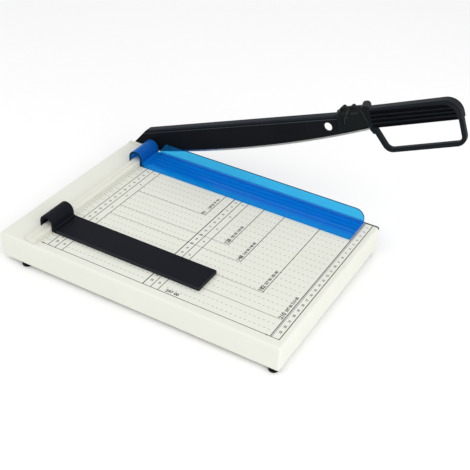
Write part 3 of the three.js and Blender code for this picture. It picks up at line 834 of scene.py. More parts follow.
CLEAR_BLUE_DEEP = ClearFinish("clear_blue_deep", (0.06, 0.63, 0.93), (0.003, 0.31, 0.9), 0.4)
CLEAR_BLUE_RIB = ClearFinish("clear_blue_rib", (0.04, 0.46, 0.85), (0.001, 0.17, 0.66), 0.5)
CLEAR_BLUE_CLIP = ClearFinish("clear_blue_clip", (0.08, 0.46, 0.76), (0.007, 0.18, 0.66), 0.4)
CLEAR_BLUE_FRONT = ClearFinish("clear_blue_front", (0.1, 0.74, 0.95), (0.008, 0.42, 0.88), 0.35)
GUARD_FINISHES = (
    CLEAR_BLUE, CLEAR_BLUE_RIM, CLEAR_BLUE_DEEP, CLEAR_BLUE_RIB, CLEAR_BLUE_CLIP, CLEAR_BLUE_FRONT,
)


# Pieces


@dataclass
class Maker:
    """Turns forms into pieces of the scene and keeps each finish's material."""

    materials: dict[str, bpy.types.Material] = field(default_factory=dict)

    def material(self, finish: Finish | ClearFinish) -> bpy.types.Material:
        """The finish's material, made the first time that it is asked for.

        Args:
            finish: what the material is made from.

        Returns:
            The material.
        """
        if finish.name not in self.materials:
            self.materials[finish.name] = finish.build()
        return self.materials[finish.name]

    def mesh(self, name: str, forms: Sequence[Form], place: Place) -> bpy.types.Mesh:
        """Joins forms into one mesh in the row's frame.

        Args:
            name: of the mesh.
            forms: closed forms in millimetres.
            place: where they go.

        Returns:
            The mesh, shaded smooth.
        """
        starts = np.cumsum([0, *[len(form.points) for form in forms]])
        faces = [
            tuple(int(start) + k for k in face)
            for form, start in zip(forms, starts[:-1], strict=True)
            for face in form.faces
        ]
        mesh = bpy.data.meshes.new(name)
        mesh.from_pydata(place.apply(np.vstack([form.points for form in forms])).tolist(), [], faces)
        self.mark(mesh, np.concatenate([form.slots for form in forms]))
        return mesh

    def mark(self, mesh: bpy.types.Mesh, slots: Points) -> None:
        """Gives each face its finish number and smooth shading.

        Args:
            mesh: whose faces are marked.
            slots: one finish number for each face.
        """
        mesh.polygons.foreach_set("material_index", slots.astype(int))
        mesh.polygons.foreach_set("use_smooth", np.ones(len(slots), bool))
        mesh.update()

    def linked(self, name: str, mesh: bpy.types.Mesh) -> bpy.types.Object:
        """Puts a mesh in the scene.

        Args:
            name: of the object.
            mesh: what it shows.

        Returns:
            The new object.
        """
        made = bpy.data.objects.new(name, mesh)
        bpy.context.scene.collection.objects.link(made)
        return made

    def piece(
        self,
        name: str,
        shape: Sequence[Form] | bpy.types.Mesh,
        place: Place,
        finishes: Sequence[Finish | ClearFinish],
        body: Body,
        stands_for: Sequence[str] = (),
        slot: str | None = None,
        crease: float = 32.0,
    ) -> None:
        """Makes a piece, dresses it, and lets it ride on its body.

        Args:
            name: of the piece.
            shape: its closed forms, or a mesh that is in place already.
            place: where the forms go.
            finishes: by finish number.
            body: that it moves with.
            stands_for: the CAD nodes that it replaces.
            slot: the record's material slot; it is not used.
            crease: edges sharper than this angle in degrees stay sharp.
        """
        mesh = shape if isinstance(shape, bpy.types.Mesh) else self.mesh(name, shape, place)
        piece = self.linked(name, mesh)
        for finish in finishes:
            mesh.materials.append(self.material(finish))
        mesh.set_sharp_from_angle(angle=math.radians(crease))
        weighted = piece.modifiers.new("flat_faces", "WEIGHTED_NORMAL")
        weighted.keep_sharp = True
        weighted.weight = 100
        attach(piece, body.value)
        if stands_for:
            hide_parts(*stands_for)
        LOG.info("%s: %d faces on %s", name, len(mesh.polygons), body.value)


@dataclass
class Cutter:
    """Sizes that several sub-assemblies share, in millimetres, and the two frames."""

    width: float = 367.0
    depth: float = 250.0
    shelf: float = 52.0
    height: float = 32.5
    sheet: float = 1.2
    bend: float = 3.0
    cut_plane: float = 2.0
    counter: float = 2.5
    pivot_inset: float = 21.3
    pivot_drop: float = 14.0
    foot_height: float = 5.0
    running_gap: float = 0.3
    seat_gap: float = 0.1
    maker: Maker = field(default_factory=Maker)

    def __post_init__(self) -> None:
        """Works out the frames from the tray's box in the CAD model."""
        low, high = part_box("base_tray")
        self.rear = self.cut_plane - self.counter
        self.pivot = self.pivot_inset - self.shelf
        self.origin = (low.x / MM + self.shelf, high.y / MM - self.rear, high.z / MM)
        self.base = Place(self.origin)
        shift = np.array([self.pivot, self.cut_plane, -self.pivot_drop])
        self.arm = Place(tuple(self.origin + shift), ARM_TILT)

    def centre(self, node: str) -> Points:
        """Middle of a CAD node's box, in the cutter's millimetres."""
        low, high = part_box(node)
        return (np.array(low) + np.array(high)) / 2 / MM - np.array(self.origin)

    def ends(self, node: str) -> tuple[Points, Points]:
        """Lowest and highest corner of a CAD node's box, in the cutter's millimetres."""
        low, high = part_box(node)
        return np.array(low) / MM - self.origin, np.array(high) / MM - self.origin


@dataclass
class Tray:
    """The folded steel bed with its feet."""

    cutter: Cutter
    flange: float = 14.0
    corner: float = 2.6
    least_corner: float = 0.2
    bend_points: int = 7
    foot_radius: float = 5.5
    foot_edge: float = 1.6
    foot_top_edge: float = 0.5
    foot_ring: float = 1.2
    foot_ring_slope: float = 0.3
    foot_hollow: float = 0.35
    foot_pole: float = 0.05
    stem: float = 2.5
    barb: float = 3.6
    barb_edge: float = 0.3
    barb_height: float = 3.0
    barb_tip: float = 0.2
    tip_inset: float = 0.5

    def ring(self, shift: float, level: float, rear_shift: float) -> Points:
        """One level of the shell: a rectangle with rounded front corners.

        Args:
            shift: inset of its left, right and front sides.
            level: its height.
            rear_shift: inset of its rear side.

        Returns:
            Points going round.
        """
        cutter = self.cutter
        radius = max(self.corner - shift, self.least_corner)
        left, right = shift - cutter.shelf, cutter.width - cutter.shelf - shift
        front, rear = shift - cutter.depth, cutter.rear - rear_shift
        corners = [(left, front, radius), (right, front, radius), (right, rear), (left, rear)]
        flat = rounded(corners, step=15)
        return spread(*flat.T, level)

    def shell(self) -> Form:
        """The outer skin from the bed down to the returned rim, and the inner skin back up.

        The bends are quarter circles: inset r (1 - sin a) and level -r (1 - cos a).

        Returns:
            The closed form.
        """
        cutter = self.cutter
        bend, sheet, height = cutter.bend, cutter.sheet, cutter.height
        angle = np.radians(np.linspace(0, 90, self.bend_points))
        within, bottom = bend - sheet, bend - height
        rows = [(bend - bend * math.sin(a), bend * math.cos(a) - bend, 0.0) for a in angle]
        rows += [(bend - bend * math.cos(a), bottom - bend * math.sin(a), 0.0) for a in angle]
        rows += [(self.flange, -height, self.flange), (self.flange, sheet - height, self.flange)]
        rows += [(bend - within * math.sin(a), bottom - within * math.cos(a), sheet) for a in angle]
        rows += [(bend - within * math.cos(a), within * math.sin(a) - bend, sheet) for a in angle]
        return grid_form(np.array([self.ring(*row) for row in rows]))

    def foot(self, name: str) -> Form:
        """A turned rubber button with a snap stem, placed by its CAD node.

        Args:
            name: of the foot's CAD node.

        Returns:
            The closed form.
        """
        cutter = self.cutter
        place = cutter.centre(name)
        place[2] = cutter.ends(name)[0][2]
        edge, top_edge, barb_edge = self.foot_edge, self.foot_top_edge, self.barb_edge
        round_at, tall = self.foot_radius - edge, cutter.foot_height - cutter.seat_gap
        ring = round_at - self.foot_ring
        rim = cutter.foot_height + cutter.sheet + cutter.seat_gap
        tip = rim + self.barb_height - self.barb_tip
        profile = np.vstack([
            [(self.foot_pole, self.foot_hollow), (ring, self.foot_hollow)],
            [(ring + self.foot_ring_slope, 0.0)],
            arc((round_at, edge), edge, -90, 0, step=18),
            arc((self.foot_radius - top_edge, tall - top_edge), top_edge, 0, 90, step=30),
            [(self.stem, tall), (self.stem, rim)],
            [(self.barb - barb_edge, rim), (self.barb, rim + barb_edge)],
            [(self.stem, tip - self.barb_tip), (self.stem - self.tip_inset, tip), (self.foot_pole, tip)],
        ])
        return lathe_form(profile).moved(lambda p: p + place)

    def build(self) -> None:
        """Makes the tray and its four feet."""
        cutter = self.cutter
        cutter.maker.piece(
            "bed_shell", [self.shell()], cutter.base, [CREAM_PAINT], Body.BASE,
            stands_for=["base_tray"], slot="cream_paint", crease=40,
        )
        for name in ("foot_front_left", "foot_front_right", "foot_rear_left", "foot_rear_right"):
            cutter.maker.piece(
                f"rubber_{name}", [self.foot(name)], cutter.base, [RUBBER], Body.BASE,
                stands_for=[name], slot="black_rubber",
            )


@dataclass
class Print:
    """The printed scale on the bed: columns, paper-size lines, dashed rows and plain numbers."""

    cutter: Cutter
    thickness: float = 0.05
    sunk: float = 0.02
    line: float = 0.78
    heavy: float = 1.1
    scale_line: float = 0.935
    sheet_line: float = 0.468
    top_margin: float = 0.5
    bottom: float = 238.6
    row_pitch: float = 10.0
    dash: float = 2.5
    dash_pitch: float = 5.6
    dash_width: float = 0.6
    shade: float = 2.4
    first_row: float = 10.0
    left: float = 30.0
    right: float = 297.0
    scale_right: float = 307.5
    left_columns: tuple[float, ...] = (10.0, 20.0, 30.0)
    middle_columns: tuple[float, ...] = (140.5, 150.5, 160.0)
    sheets: tuple[tuple[float, float], ...] = (
        (128.0, 91.0), (182.0, 128.0), (210.0, 148.0), (257.0, 182.0), (297.0, 210.0),
    )
    arrow_reach: float = 4.6
    arrow_half: float = 0.9
    tick: float = 1.6
    long_tick: float = 4.0
    far_tick: tuple[float, float] = (5.4, 7.8)
    centimetres: int = 23
    digit_height: float = 2.7
    digit_at: float = 2.3
    sparse_digit: float = 0.85
    label_height: float = 4.8
    label_at: tuple[float, float] = (4.2, 1.0)
    note_height: float = 3.3
    note_at: tuple[float, float] = (4.0, 13.5)
    bottom_height: float = 4.08
    bottom_at: tuple[float, float] = (176.0, 4.4)
    capital: float = 0.69
    boldness: float = 0.045
    weld: float = 0.0005

    def bar(self, x0: float, x1: float, y0: float, y1: float) -> tuple[float, ...]:
        """A flat bar of ink just over the bed."""
        return (min(x0, x1), max(x0, x1), min(y0, y1), max(y0, y1), -self.sunk, self.thickness)

    def upright(self, x: float, near: float, far: float, width: float) -> tuple[float, ...]:
        """A line along Y at x, between two distances from the rear edge."""
        return self.bar(x - width / 2, x + width / 2, -far, -near)

    def level(self, distance: float, x0: float, x1: float, width: float) -> tuple[float, ...]:
        """A line along X at a distance from the rear edge."""
        return self.bar(x0, x1, -distance - width / 2, -distance + width / 2)

    def lines(self) -> list[tuple[float, ...]]:
        """The solid dark lines.

        Returns:
            One box (x0, x1, y0, y1, z0, z1) for each line.
        """
        top = self.top_margin - self.cutter.rear
        heavy, *light = self.middle_columns
        widths = [(x, self.line) for x in self.left_columns]
        widths += [(heavy, self.heavy), *[(x, self.line) for x in light]]
        bars = [self.upright(x, top, self.bottom, width) for x, width in widths]
        bars += [self.upright(wide, top, tall, self.line) for wide, tall in self.sheets[:-1]]
        bars += [self.level(tall, self.left, wide, self.sheet_line) for wide, tall in self.sheets]
        bars.append(self.upright(self.right, top, self.bottom, self.line))
        bars.append(self.upright(self.scale_right, top, self.bottom, self.scale_line))
        bars.append(self.level(self.bottom, 0.0, self.scale_right, self.line))
        return bars

    def arrows(self) -> list[Form]:
        """The two arrowheads at the ends of the bottom line.

        Returns:
            One form for each arrowhead.
        """
        profile = np.array([[-self.sunk, 0.0], [self.thickness, 0.0]])
        heads = []
        for tip, way in ((0.0, 1), (self.right, -1)):
            base = tip + way * self.arrow_reach
            points = [(tip, 0.0), (base, -self.arrow_half), (base, self.arrow_half)]
            heads.append(plate_form([np.array(points[::way]) - (0.0, self.bottom)], profile, Along.Z))
        return heads

    def pale(self) -> list[tuple[float, ...]]:
        """The dashed rows and the ticks of the left edge.

        Returns:
            One box (x0, x1, y0, y1, z0, z1) for each dash and tick.
        """
        rows = np.arange(self.first_row, self.bottom, self.row_pitch)
        starts = np.arange(self.left + 2, self.right - self.dash, self.dash_pitch)
        bars = [
            self.level(row, start, start + self.dash, self.dash_width)
            for row in rows
            for start in starts
            if min(abs(start + self.dash / 2 - x) for x in self.middle_columns) > self.dash
            and not self.middle_columns[0] < start < self.middle_columns[-1]
        ]
        ticks = np.arange(self.row_pitch / 2, self.bottom, self.row_pitch / 2)
        ends = (self.tick, self.long_tick)
        bars += [self.level(tick, 0.0, ends[k % 2], self.dash_width) for k, tick in enumerate(ticks)]
        bars += [self.level(tick, *self.far_tick, self.dash_width) for tick in ticks[1::2]]
        return bars

    def text(self, words: str, height: float, x: float, distance: float, centred: bool) -> Form:
        """Figures that read towards the rear, with their tops to the left.

        Args:
            words: plain figures.
            height: of a figure, in millimetres.
            x: of the figures' middle line.
            distance: from the rear edge to their start or middle.
            centred: whether the distance is that of their middle.

        Returns:
            The raised ink.
        """
        curve = bpy.data.curves.new("figures", "FONT")
        curve.body = words
        curve.size = height / self.capital
        curve.extrude = self.thickness / 2
        curve.resolution_u = 3
        curve.offset = height * self.boldness
        curve.align_x = "CENTER" if centred else "LEFT"
        carrier = bpy.data.objects.new("figures", curve)
        mesh = bpy.data.meshes.new_from_object(carrier)
        welded = bmesh.new()
        welded.from_mesh(mesh)
        bmesh.ops.remove_doubles(welded, verts=welded.verts, dist=self.weld)
        bmesh.ops.dissolve_degenerate(welded, edges=welded.edges, dist=self.weld)
        bmesh.ops.recalc_face_normals(welded, faces=welded.faces)
        welded.to_mesh(mesh)
        welded.free()
        points = read_vectors(mesh.vertices, "co")
        faces = [tuple(face.vertices) for face in mesh.polygons]
        bpy.data.objects.remove(carrier)
        bpy.data.curves.remove(curve)
        bpy.data.meshes.remove(mesh)
        along, up, out = points.T
        turned = spread(x + height / 2 - up, along - distance, out + self.thickness / 2)
        return Form(turned, faces, np.zeros(len(faces)))

    def numbers(self) -> list[Form]:
        """The centimetre figures of each column, and the sheet sizes beside their lines.

        Returns:
            One form for each label.
        """
        forms = []
        groups = (self.left_columns, self.middle_columns)
        columns = [(self.right + self.scale_right) / 2 + 1]
        columns += [(group[0] + group[1]) / 2 for group in groups]
        sparse = [(group[1] + group[2]) / 2 for group in groups]
        small = self.digit_height * self.sparse_digit
        for n in range(1, self.centimetres + 1):
            at = self.row_pitch * n - self.digit_at
            forms += [self.text(str(n), self.digit_height, x, at, True) for x in columns]
            if n % 3 == 2:
                forms += [self.text(str(n), small, x, at, True) for x in sparse]
        for wide, tall in self.sheets:
            labels = (
                (f"{int(tall)}", self.label_height, self.label_at),
                (f"{int(wide)} 00 {int(tall)} 00", self.note_height, self.note_at),
            )
            for words, height, (back, down) in labels:
                forms.append(self.text(words, height, wide - back, tall - down, False))
        x, lift = self.bottom_at
        label = self.text(f"{int(self.right)} 00", self.bottom_height, 0.0, 0.0, True)
        forms.append(label.moved(
            lambda p: spread(p[:, 1] + x, lift - self.bottom - p[:, 0], p[:, 2])
        ))
        return forms

    def build(self) -> None:
        """Makes the dark and the pale print, and the shade beside the right line."""
        dark = [box_forms(np.array(self.lines())), *self.arrows(), *self.numbers()]
        pale = [box_forms(np.array(self.pale()))]
        band = self.upright(self.right + self.shade / 2, 1.0, self.bottom, self.shade)
        shade = [box_forms(np.array([band]))]
        for name, forms, ink in (
            ("scale_print", dark, INK), ("row_print", pale, PALE_INK), ("shade_print", shade, SHADE_INK),
        ):
            self.cutter.maker.piece(name, forms, self.cutter.base, [ink], Body.BASE)


@dataclass
class RearEdge:
    """The guide rail, the counter blade and the pivot bracket."""

    cutter: Cutter
    rail_width: float = 12.4
    rail_height: float = 6.5
    rail_from_zero: float = 2.2
    rail_front: float = 3.0
    rail_edge: float = 1.1
    rail_end_edge: float = 0.2
    groove_width: float = 1.6
    groove_floor: float = 1.12
    groove_depth: float = 0.7
    groove_edges: tuple[float, float] = (0.3, 0.2)
    counter_reach: float = 8.0
    counter_height: float = 28.0
    counter_corner: float = 1.0
    counter_step: float = 1.8
    counter_step_slope: float = 0.6
    counter_step_edge: float = 0.5
    counter_edge: float = 0.15
    bend_play: float = 0.3
    ground_width: float = 1.2
    ground_depth: float = 0.2
    bolt_hole: float = 4.3
    bracket_rise: float = 4.2
    bracket_inset: float = 1.5
    bracket_corner: float = 6.0
    bracket_corners: tuple[float, float, float] = (1.5, 1.0, 1.2)
    bracket_edge: float = 0.4
    bracket_gap: float = 2.5

    def rail(self) -> Form:
        """A bar with rounded top edges and a groove along its top.

        Returns:
            The closed form.
        """
        right = -self.rail_from_zero
        left = right - self.rail_width
        middle, top, floor = (left + right) / 2, self.rail_height, self.cutter.seat_gap
        half, low_half = self.groove_width / 2, self.groove_floor / 2
        edge, low_edge = self.groove_edges
        low = top - self.groove_depth
        outline = rounded([
            (left, floor), (right, floor), (right, top, self.rail_edge),
            (middle + half, top, edge), (middle + low_half, low, low_edge),
            (middle - low_half, low, low_edge), (middle - half, top, edge), (left, top, self.rail_edge),
        ], step=15)
        ends = self.rail_front - self.cutter.depth, self.cutter.rear - self.cutter.seat_gap
        return plate_form([outline], edge_profile(*ends, self.rail_end_edge, steps=2), Along.Y)

    def counter_blade(self) -> Form:
        """A flat bar whose top right corner follows the tray's bend.

        Returns:
            The closed form, whose ground faces have the second finish.
        """
        cutter = self.cutter
        right = cutter.width - cutter.shelf
        step, edge = right - self.counter_step, self.counter_step_edge
        outline = rounded([
            (-self.counter_reach, -self.counter_height),
            (step, -self.counter_height, self.counter_corner),
            (step, -2 * cutter.bend, edge), (right, -cutter.bend - self.counter_step_slope, edge),
            (right, 0.0, cutter.bend - self.bend_play), (-self.counter_reach, 0.0),
        ])
        profile = edge_profile(cutter.rear, cutter.cut_plane, self.counter_edge, steps=2)
        form = plate_form([outline], profile, Along.Y)
        y, z = form.centres().T[1:]
        ground = (z > -self.ground_depth) & (y > cutter.cut_plane - self.ground_width)
        form.slots = ground.astype(int)
        return form

    def bracket(self) -> Form:
        """An upright plate with one large rounded corner.

        Returns:
            The closed form.
        """
        cutter = self.cutter
        left = self.bracket_inset - cutter.shelf
        right = -self.counter_reach - cutter.seat_gap
        floor = self.bracket_gap - cutter.height
        low_left, low_right, high_right = self.bracket_corners
        outline = rounded([
            (left, floor, low_left), (right, floor, low_right), (right, self.bracket_rise, high_right),
            (left, self.bracket_rise, self.bracket_corner),
        ])
        hole = circle((cutter.pivot, -cutter.pivot_drop), self.bolt_hole, clockwise=True)
        profile = edge_profile(cutter.rear, cutter.cut_plane, self.bracket_edge)
        return plate_form([outline, hole], profile, Along.Y)

    def build(self) -> None:
        """Makes the three pieces."""
        blade = self.counter_blade()
        for name, form, finishes, node, slot in (
            ("side_rail", self.rail(), [CREAM_PLASTIC], "guide_rail", "cream_plastic"),
            ("lower_blade", blade, [BLADE_PAINT, GROUND_STEEL], "counter_blade", "blade_black"),
            ("bolt_bracket", self.bracket(), [CREAM_PAINT], "pivot_bracket", "cream_paint"),
        ):
            self.cutter.maker.piece(name, [form], self.cutter.base, finishes, Body.BASE, [node], slot)


@dataclass
class Fixings:
    """Screws, bolt, nut, washers and the bolt's spring."""

    cutter: Cutter
    screw_radius: float = 2.0
    head_radius: float = 3.8
    head_height: float = 2.4
    thread_pitch: float = 1.25
    thread_depth: float = 0.35
    thread_points: int = 8
    thread_margins: tuple[float, float] = (0.6, 0.4)
    shank_tip: float = 1.2
    shank_overlap: float = 0.2
    pole: float = 0.1
    dome_from: float = 0.02
    dome_points: int = 20
    head_wall: float = 0.45
    head_rim: float = 0.3
    head_chamfer: float = 0.25
    recess_half: float = 0.62
    recess_slope: float = 0.22
    recess_reach: float = 0.6
    recess_end_slope: float = 0.35
    bolt_radius: float = 4.0
    bolt_tip: float = 0.8
    bolt_thread: float = 5.0
    bolt_levels: int = 240
    across: float = 13.0
    hexagon_flat: float = 0.25
    hexagon_pole: float = 0.05
    washer_radius: float = 8.5
    washer_edges: tuple[float, float] = (0.2, 0.45)
    spring_wire: float = 1.8
    spring_radius: float = 6.1
    spring_curls: float = 6.0
    curl_points: int = 36
    spring_end: float = 0.7
    handle_screws: tuple[float, ...] = (316.0, 330.0)
    handle_screw_at: tuple[float, float] = (14.6, 27.0)
    handle_screw_length: float = 13.7

    def thread(self, angle: Points, turned: Points, low: float, high: float) -> Points:
        """A helical groove: the radius falls with |phase - 1/2|, and phase is height / pitch - a / turn.

        Args:
            angle: of each column.
            turned: (radius, height) of the plain form.
            low: where the thread begins.
            high: where it ends.

        Returns:
            The change of radius and height.
        """
        height = turned[..., 1]
        phase = (height / self.thread_pitch - angle / (2 * np.pi)) % 1
        threaded = (height > low) & (height < high) & (turned[..., 0] > 0.5)
        change = np.zeros_like(turned)
        change[..., 0] = np.where(threaded, -2 * self.thread_depth * np.abs(phase - 0.5), 0)
        return change

    def screw(self, length: float) -> list[Form]:
        """A pan head with a cross recess, and a threaded shank that runs down from it.

        The head's top is an ellipse of revolution, from which the cross is sunk by a smooth step of the
        distance to its nearer arm.

        Args:
            length: from the head's underside, at height 0, down to the tip.

        Returns:
            The head and the shank.
        """
        head, tall, wall = self.head_radius, self.head_height, self.head_wall
        share = np.sin(np.linspace(self.dome_from, np.pi / 2, self.dome_points))
        dome = spread(head * share, wall * tall + (1 - wall) * tall * np.sqrt(1 - share**2))
        rim = [(head, self.head_rim), (head - self.head_chamfer, 0.0), (self.pole, 0.0)]
        profile = np.vstack([dome, rim])

        def cross(angle: Points, turned: Points) -> Points:
            """Sinks the cross by up to half of the head's height.

            Args:
                angle: of each column.
                turned: (radius, height) of the plain form.

            Returns:
                The change of radius and height.
            """
            radius = turned[..., 0]
            nearer = np.abs(polar(radius, angle)).min(-1)
            depth = np.clip((self.recess_half - nearer) / self.recess_slope, 0, 1)
            depth *= np.clip((head * self.recess_reach - radius) / self.recess_end_slope, 0, 1)
            change = np.zeros_like(turned)
            change[..., 1] = np.where(turned[..., 1] > wall * tall - HAIR, -depth * tall * 0.5, 0)
            return change

        top, (below, above) = self.shank_overlap, self.thread_margins
        count = int(length / self.thread_pitch * self.thread_points)
        levels = np.linspace(-length, top, max(2 * self.thread_points, count))
        radii = np.minimum(self.screw_radius, self.shank_tip + levels + length)
        shank = np.vstack([[(self.pole, -length)], spread(radii, levels), [(self.pole, top)]])
        return [
            lathe_form(profile, sides=48, bumps=cross),
            lathe_form(shank, sides=24, bumps=lambda a, t: self.thread(a, t, below - length, -above)),
        ]

    def hexagon(self, height: float, bore: float, both: bool) -> Form:
        """A hexagonal head or nut whose flat ends are chamfered by a cone.

        The side is at (across / 2) / cos(a mod 60 - 30), and an end falls by tan 30 times the radius
        beyond the flats' circle.

        Args:
            height: of the head.
            bore: radius of its hole.
            both: whether both ends are chamfered.

        Returns:
            The form, from height 0 up.
        """
        flat = self.across / 2 - self.hexagon_flat
        angle = round_turn(sides=96)
        slant = math.radians(30)
        rim = (self.across / 2) / np.cos((angle + slant) % (2 * slant) - slant)
        drop = (rim - flat) * math.tan(slant)
        rows = [(bore, 0.0), (flat, 0.0), (rim, drop if both else 0.0)]
        rows += [(rim, height - drop), (flat, height), (bore, height)]
        grid = np.array([polar(radius, angle, level) for radius, level in rows])
        return grid_form(grid, round_rows=True)

    def facing(self, form: Form, way: int, place: Corner) -> Form:
        """Turns a form's Z axis to the rear, or to the front where way is -1, and moves it."""
        return form.moved(lambda p: p[:, [0, 2, 1]] * (1, way, 1) + place)

    def base_screws(self) -> None:
        """Screws of the counter blade and the bracket, with heads inside, and of the rail, from below."""
        cutter = self.cutter
        inner = [f"counter_blade_screw_{i}" for i in range(1, 6)] + ["bracket_screw_1", "bracket_screw_2"]
        for name in (*inner, "rail_screw_1", "rail_screw_2", "rail_screw_3"):
            axis = 1 if name in inner else 2
            low, high = cutter.ends(name)
            seat = cutter.centre(name)
            seat[axis] = low[axis] + self.head_height
            forms = self.screw(high[axis] - seat[axis])
            if name in inner:
                forms = [self.facing(form, -1, seat) for form in forms]
            else:
                forms = [form.moved(lambda p: p * (1, -1, -1) + seat) for form in forms]
            self.fixing(name, forms, cutter.base)

    def fixing(self, node: str, forms: Sequence[Form], place: Place, body: Body = Body.BASE) -> None:
        """Makes the piece that stands for a fixing's CAD node."""
        maker = self.cutter.maker
        maker.piece(f"plated_{node}", forms, place, [ZINC], body, [node], "zinc_steel", crease=28)

    def on_pivot(self, node: str, *placed: tuple[Form, float]) -> None:
        """Makes a fixing of forms that run to the rear along the bolt's axis, each from its own y.

        Args:
            node: the CAD node of the fixing.
            placed: each form with its y.
        """
        cutter = self.cutter
        forms = [self.facing(form, 1, (cutter.pivot, y, -cutter.pivot_drop)) for form, y in placed]
        self.fixing(node, forms, cutter.base)

    def pivot_set(self) -> None:
        """The bolt with its head outside the arm, washers and nut."""
        cutter = self.cutter
        low, high = cutter.ends("pivot_bolt")
        tall = high[1] - cutter.ends("pivot_washer")[1][1] - cutter.seat_gap
        seat = high[1] - tall
        nut_low, nut_high = cutter.ends("pivot_nut")
        length = seat - low[1]
        levels, tip = np.linspace(0, length, self.bolt_levels), self.bolt_tip
        radii = np.minimum(self.bolt_radius, self.bolt_radius - tip + levels)
        shank = np.vstack([[(self.pole, 0)], spread(radii, levels), [(self.pole, length)]])
        end = nut_high[1] - low[1] + self.bolt_thread
        threaded = lathe_form(shank, sides=40, bumps=lambda a, t: self.thread(a, t, tip, end))
        head = self.hexagon(tall, self.hexagon_pole, both=False)
        self.on_pivot("pivot_bolt", (threaded, low[1]), (head, seat))
        outer, bore = self.washer_radius, self.bolt_radius + cutter.seat_gap
        inner_edge, edge = self.washer_edges
        for name in ("pivot_washer", "spring_seat_washer", "spring_end_washer"):
            near, far = cutter.ends(name)
            thick = far[1] - near[1]
            profile = rounded([
                (bore, 0, inner_edge), (outer, 0, edge), (outer, thick, edge), (bore, thick, inner_edge),
            ], step=22)
            self.on_pivot(name, (ring_form(profile), near[1]))
        nut = self.hexagon(nut_high[1] - nut_low[1], bore, both=True)
        self.on_pivot("pivot_nut", (nut, nut_low[1]))

    def spring(self) -> Form:
        """A round wire on a helix: (R cos a, y(a), R sin a), whose pitch is closer at both ends.

        Returns:
            The closed form.
        """
        cutter = self.cutter
        near, far = cutter.ends("pivot_spring")
        turns = np.linspace(0, self.spring_curls, int(self.spring_curls * self.curl_points) + 1)
        from_end = np.clip(np.minimum(turns, self.spring_curls - turns), 0, 1)
        pitch = self.spring_end + (1 - self.spring_end) * from_end
        climb = np.concatenate([[0], np.cumsum((pitch[1:] + pitch[:-1]) / 2)])
        half = self.spring_wire / 2
        y = near[1] + half + climb / climb[-1] * (far[1] - near[1] - self.spring_wire)
        angle = 2 * np.pi * turns
        outward = spread(np.cos(angle), 0.0, np.sin(angle))
        path = self.spring_radius * outward + spread(0.0, y, 0.0)
        side = np.cross(unit(np.gradient(path, axis=0)), outward)
        about = round_turn(sides=12)[:, None]
        spoke = outward[:, None] * np.cos(about) + side[:, None] * np.sin(about)
        return grid_form(path[:, None] + half * spoke + (cutter.pivot, 0, -cutter.pivot_drop))

    def collar_screws(self) -> None:
        """The two screws that enter the collar from the rear."""
        for k, u in enumerate(self.handle_screws, 1):
            forms = self.screw(self.handle_screw_length)
            forms = [self.facing(form, 1, (u, *self.handle_screw_at)) for form in forms]
            self.fixing(f"handle_screw_{k}", forms, self.cutter.arm, Body.ARM)

    def build(self) -> None:
        """Makes every fixing."""
        self.base_screws()
        self.pivot_set()
        self.cutter.maker.piece(
            "wound_spring", [self.spring()], self.cutter.base, [SPRING_STEEL], Body.BASE,
            stands_for=["pivot_spring"], slot="spring_steel",
        )
        self.collar_screws()


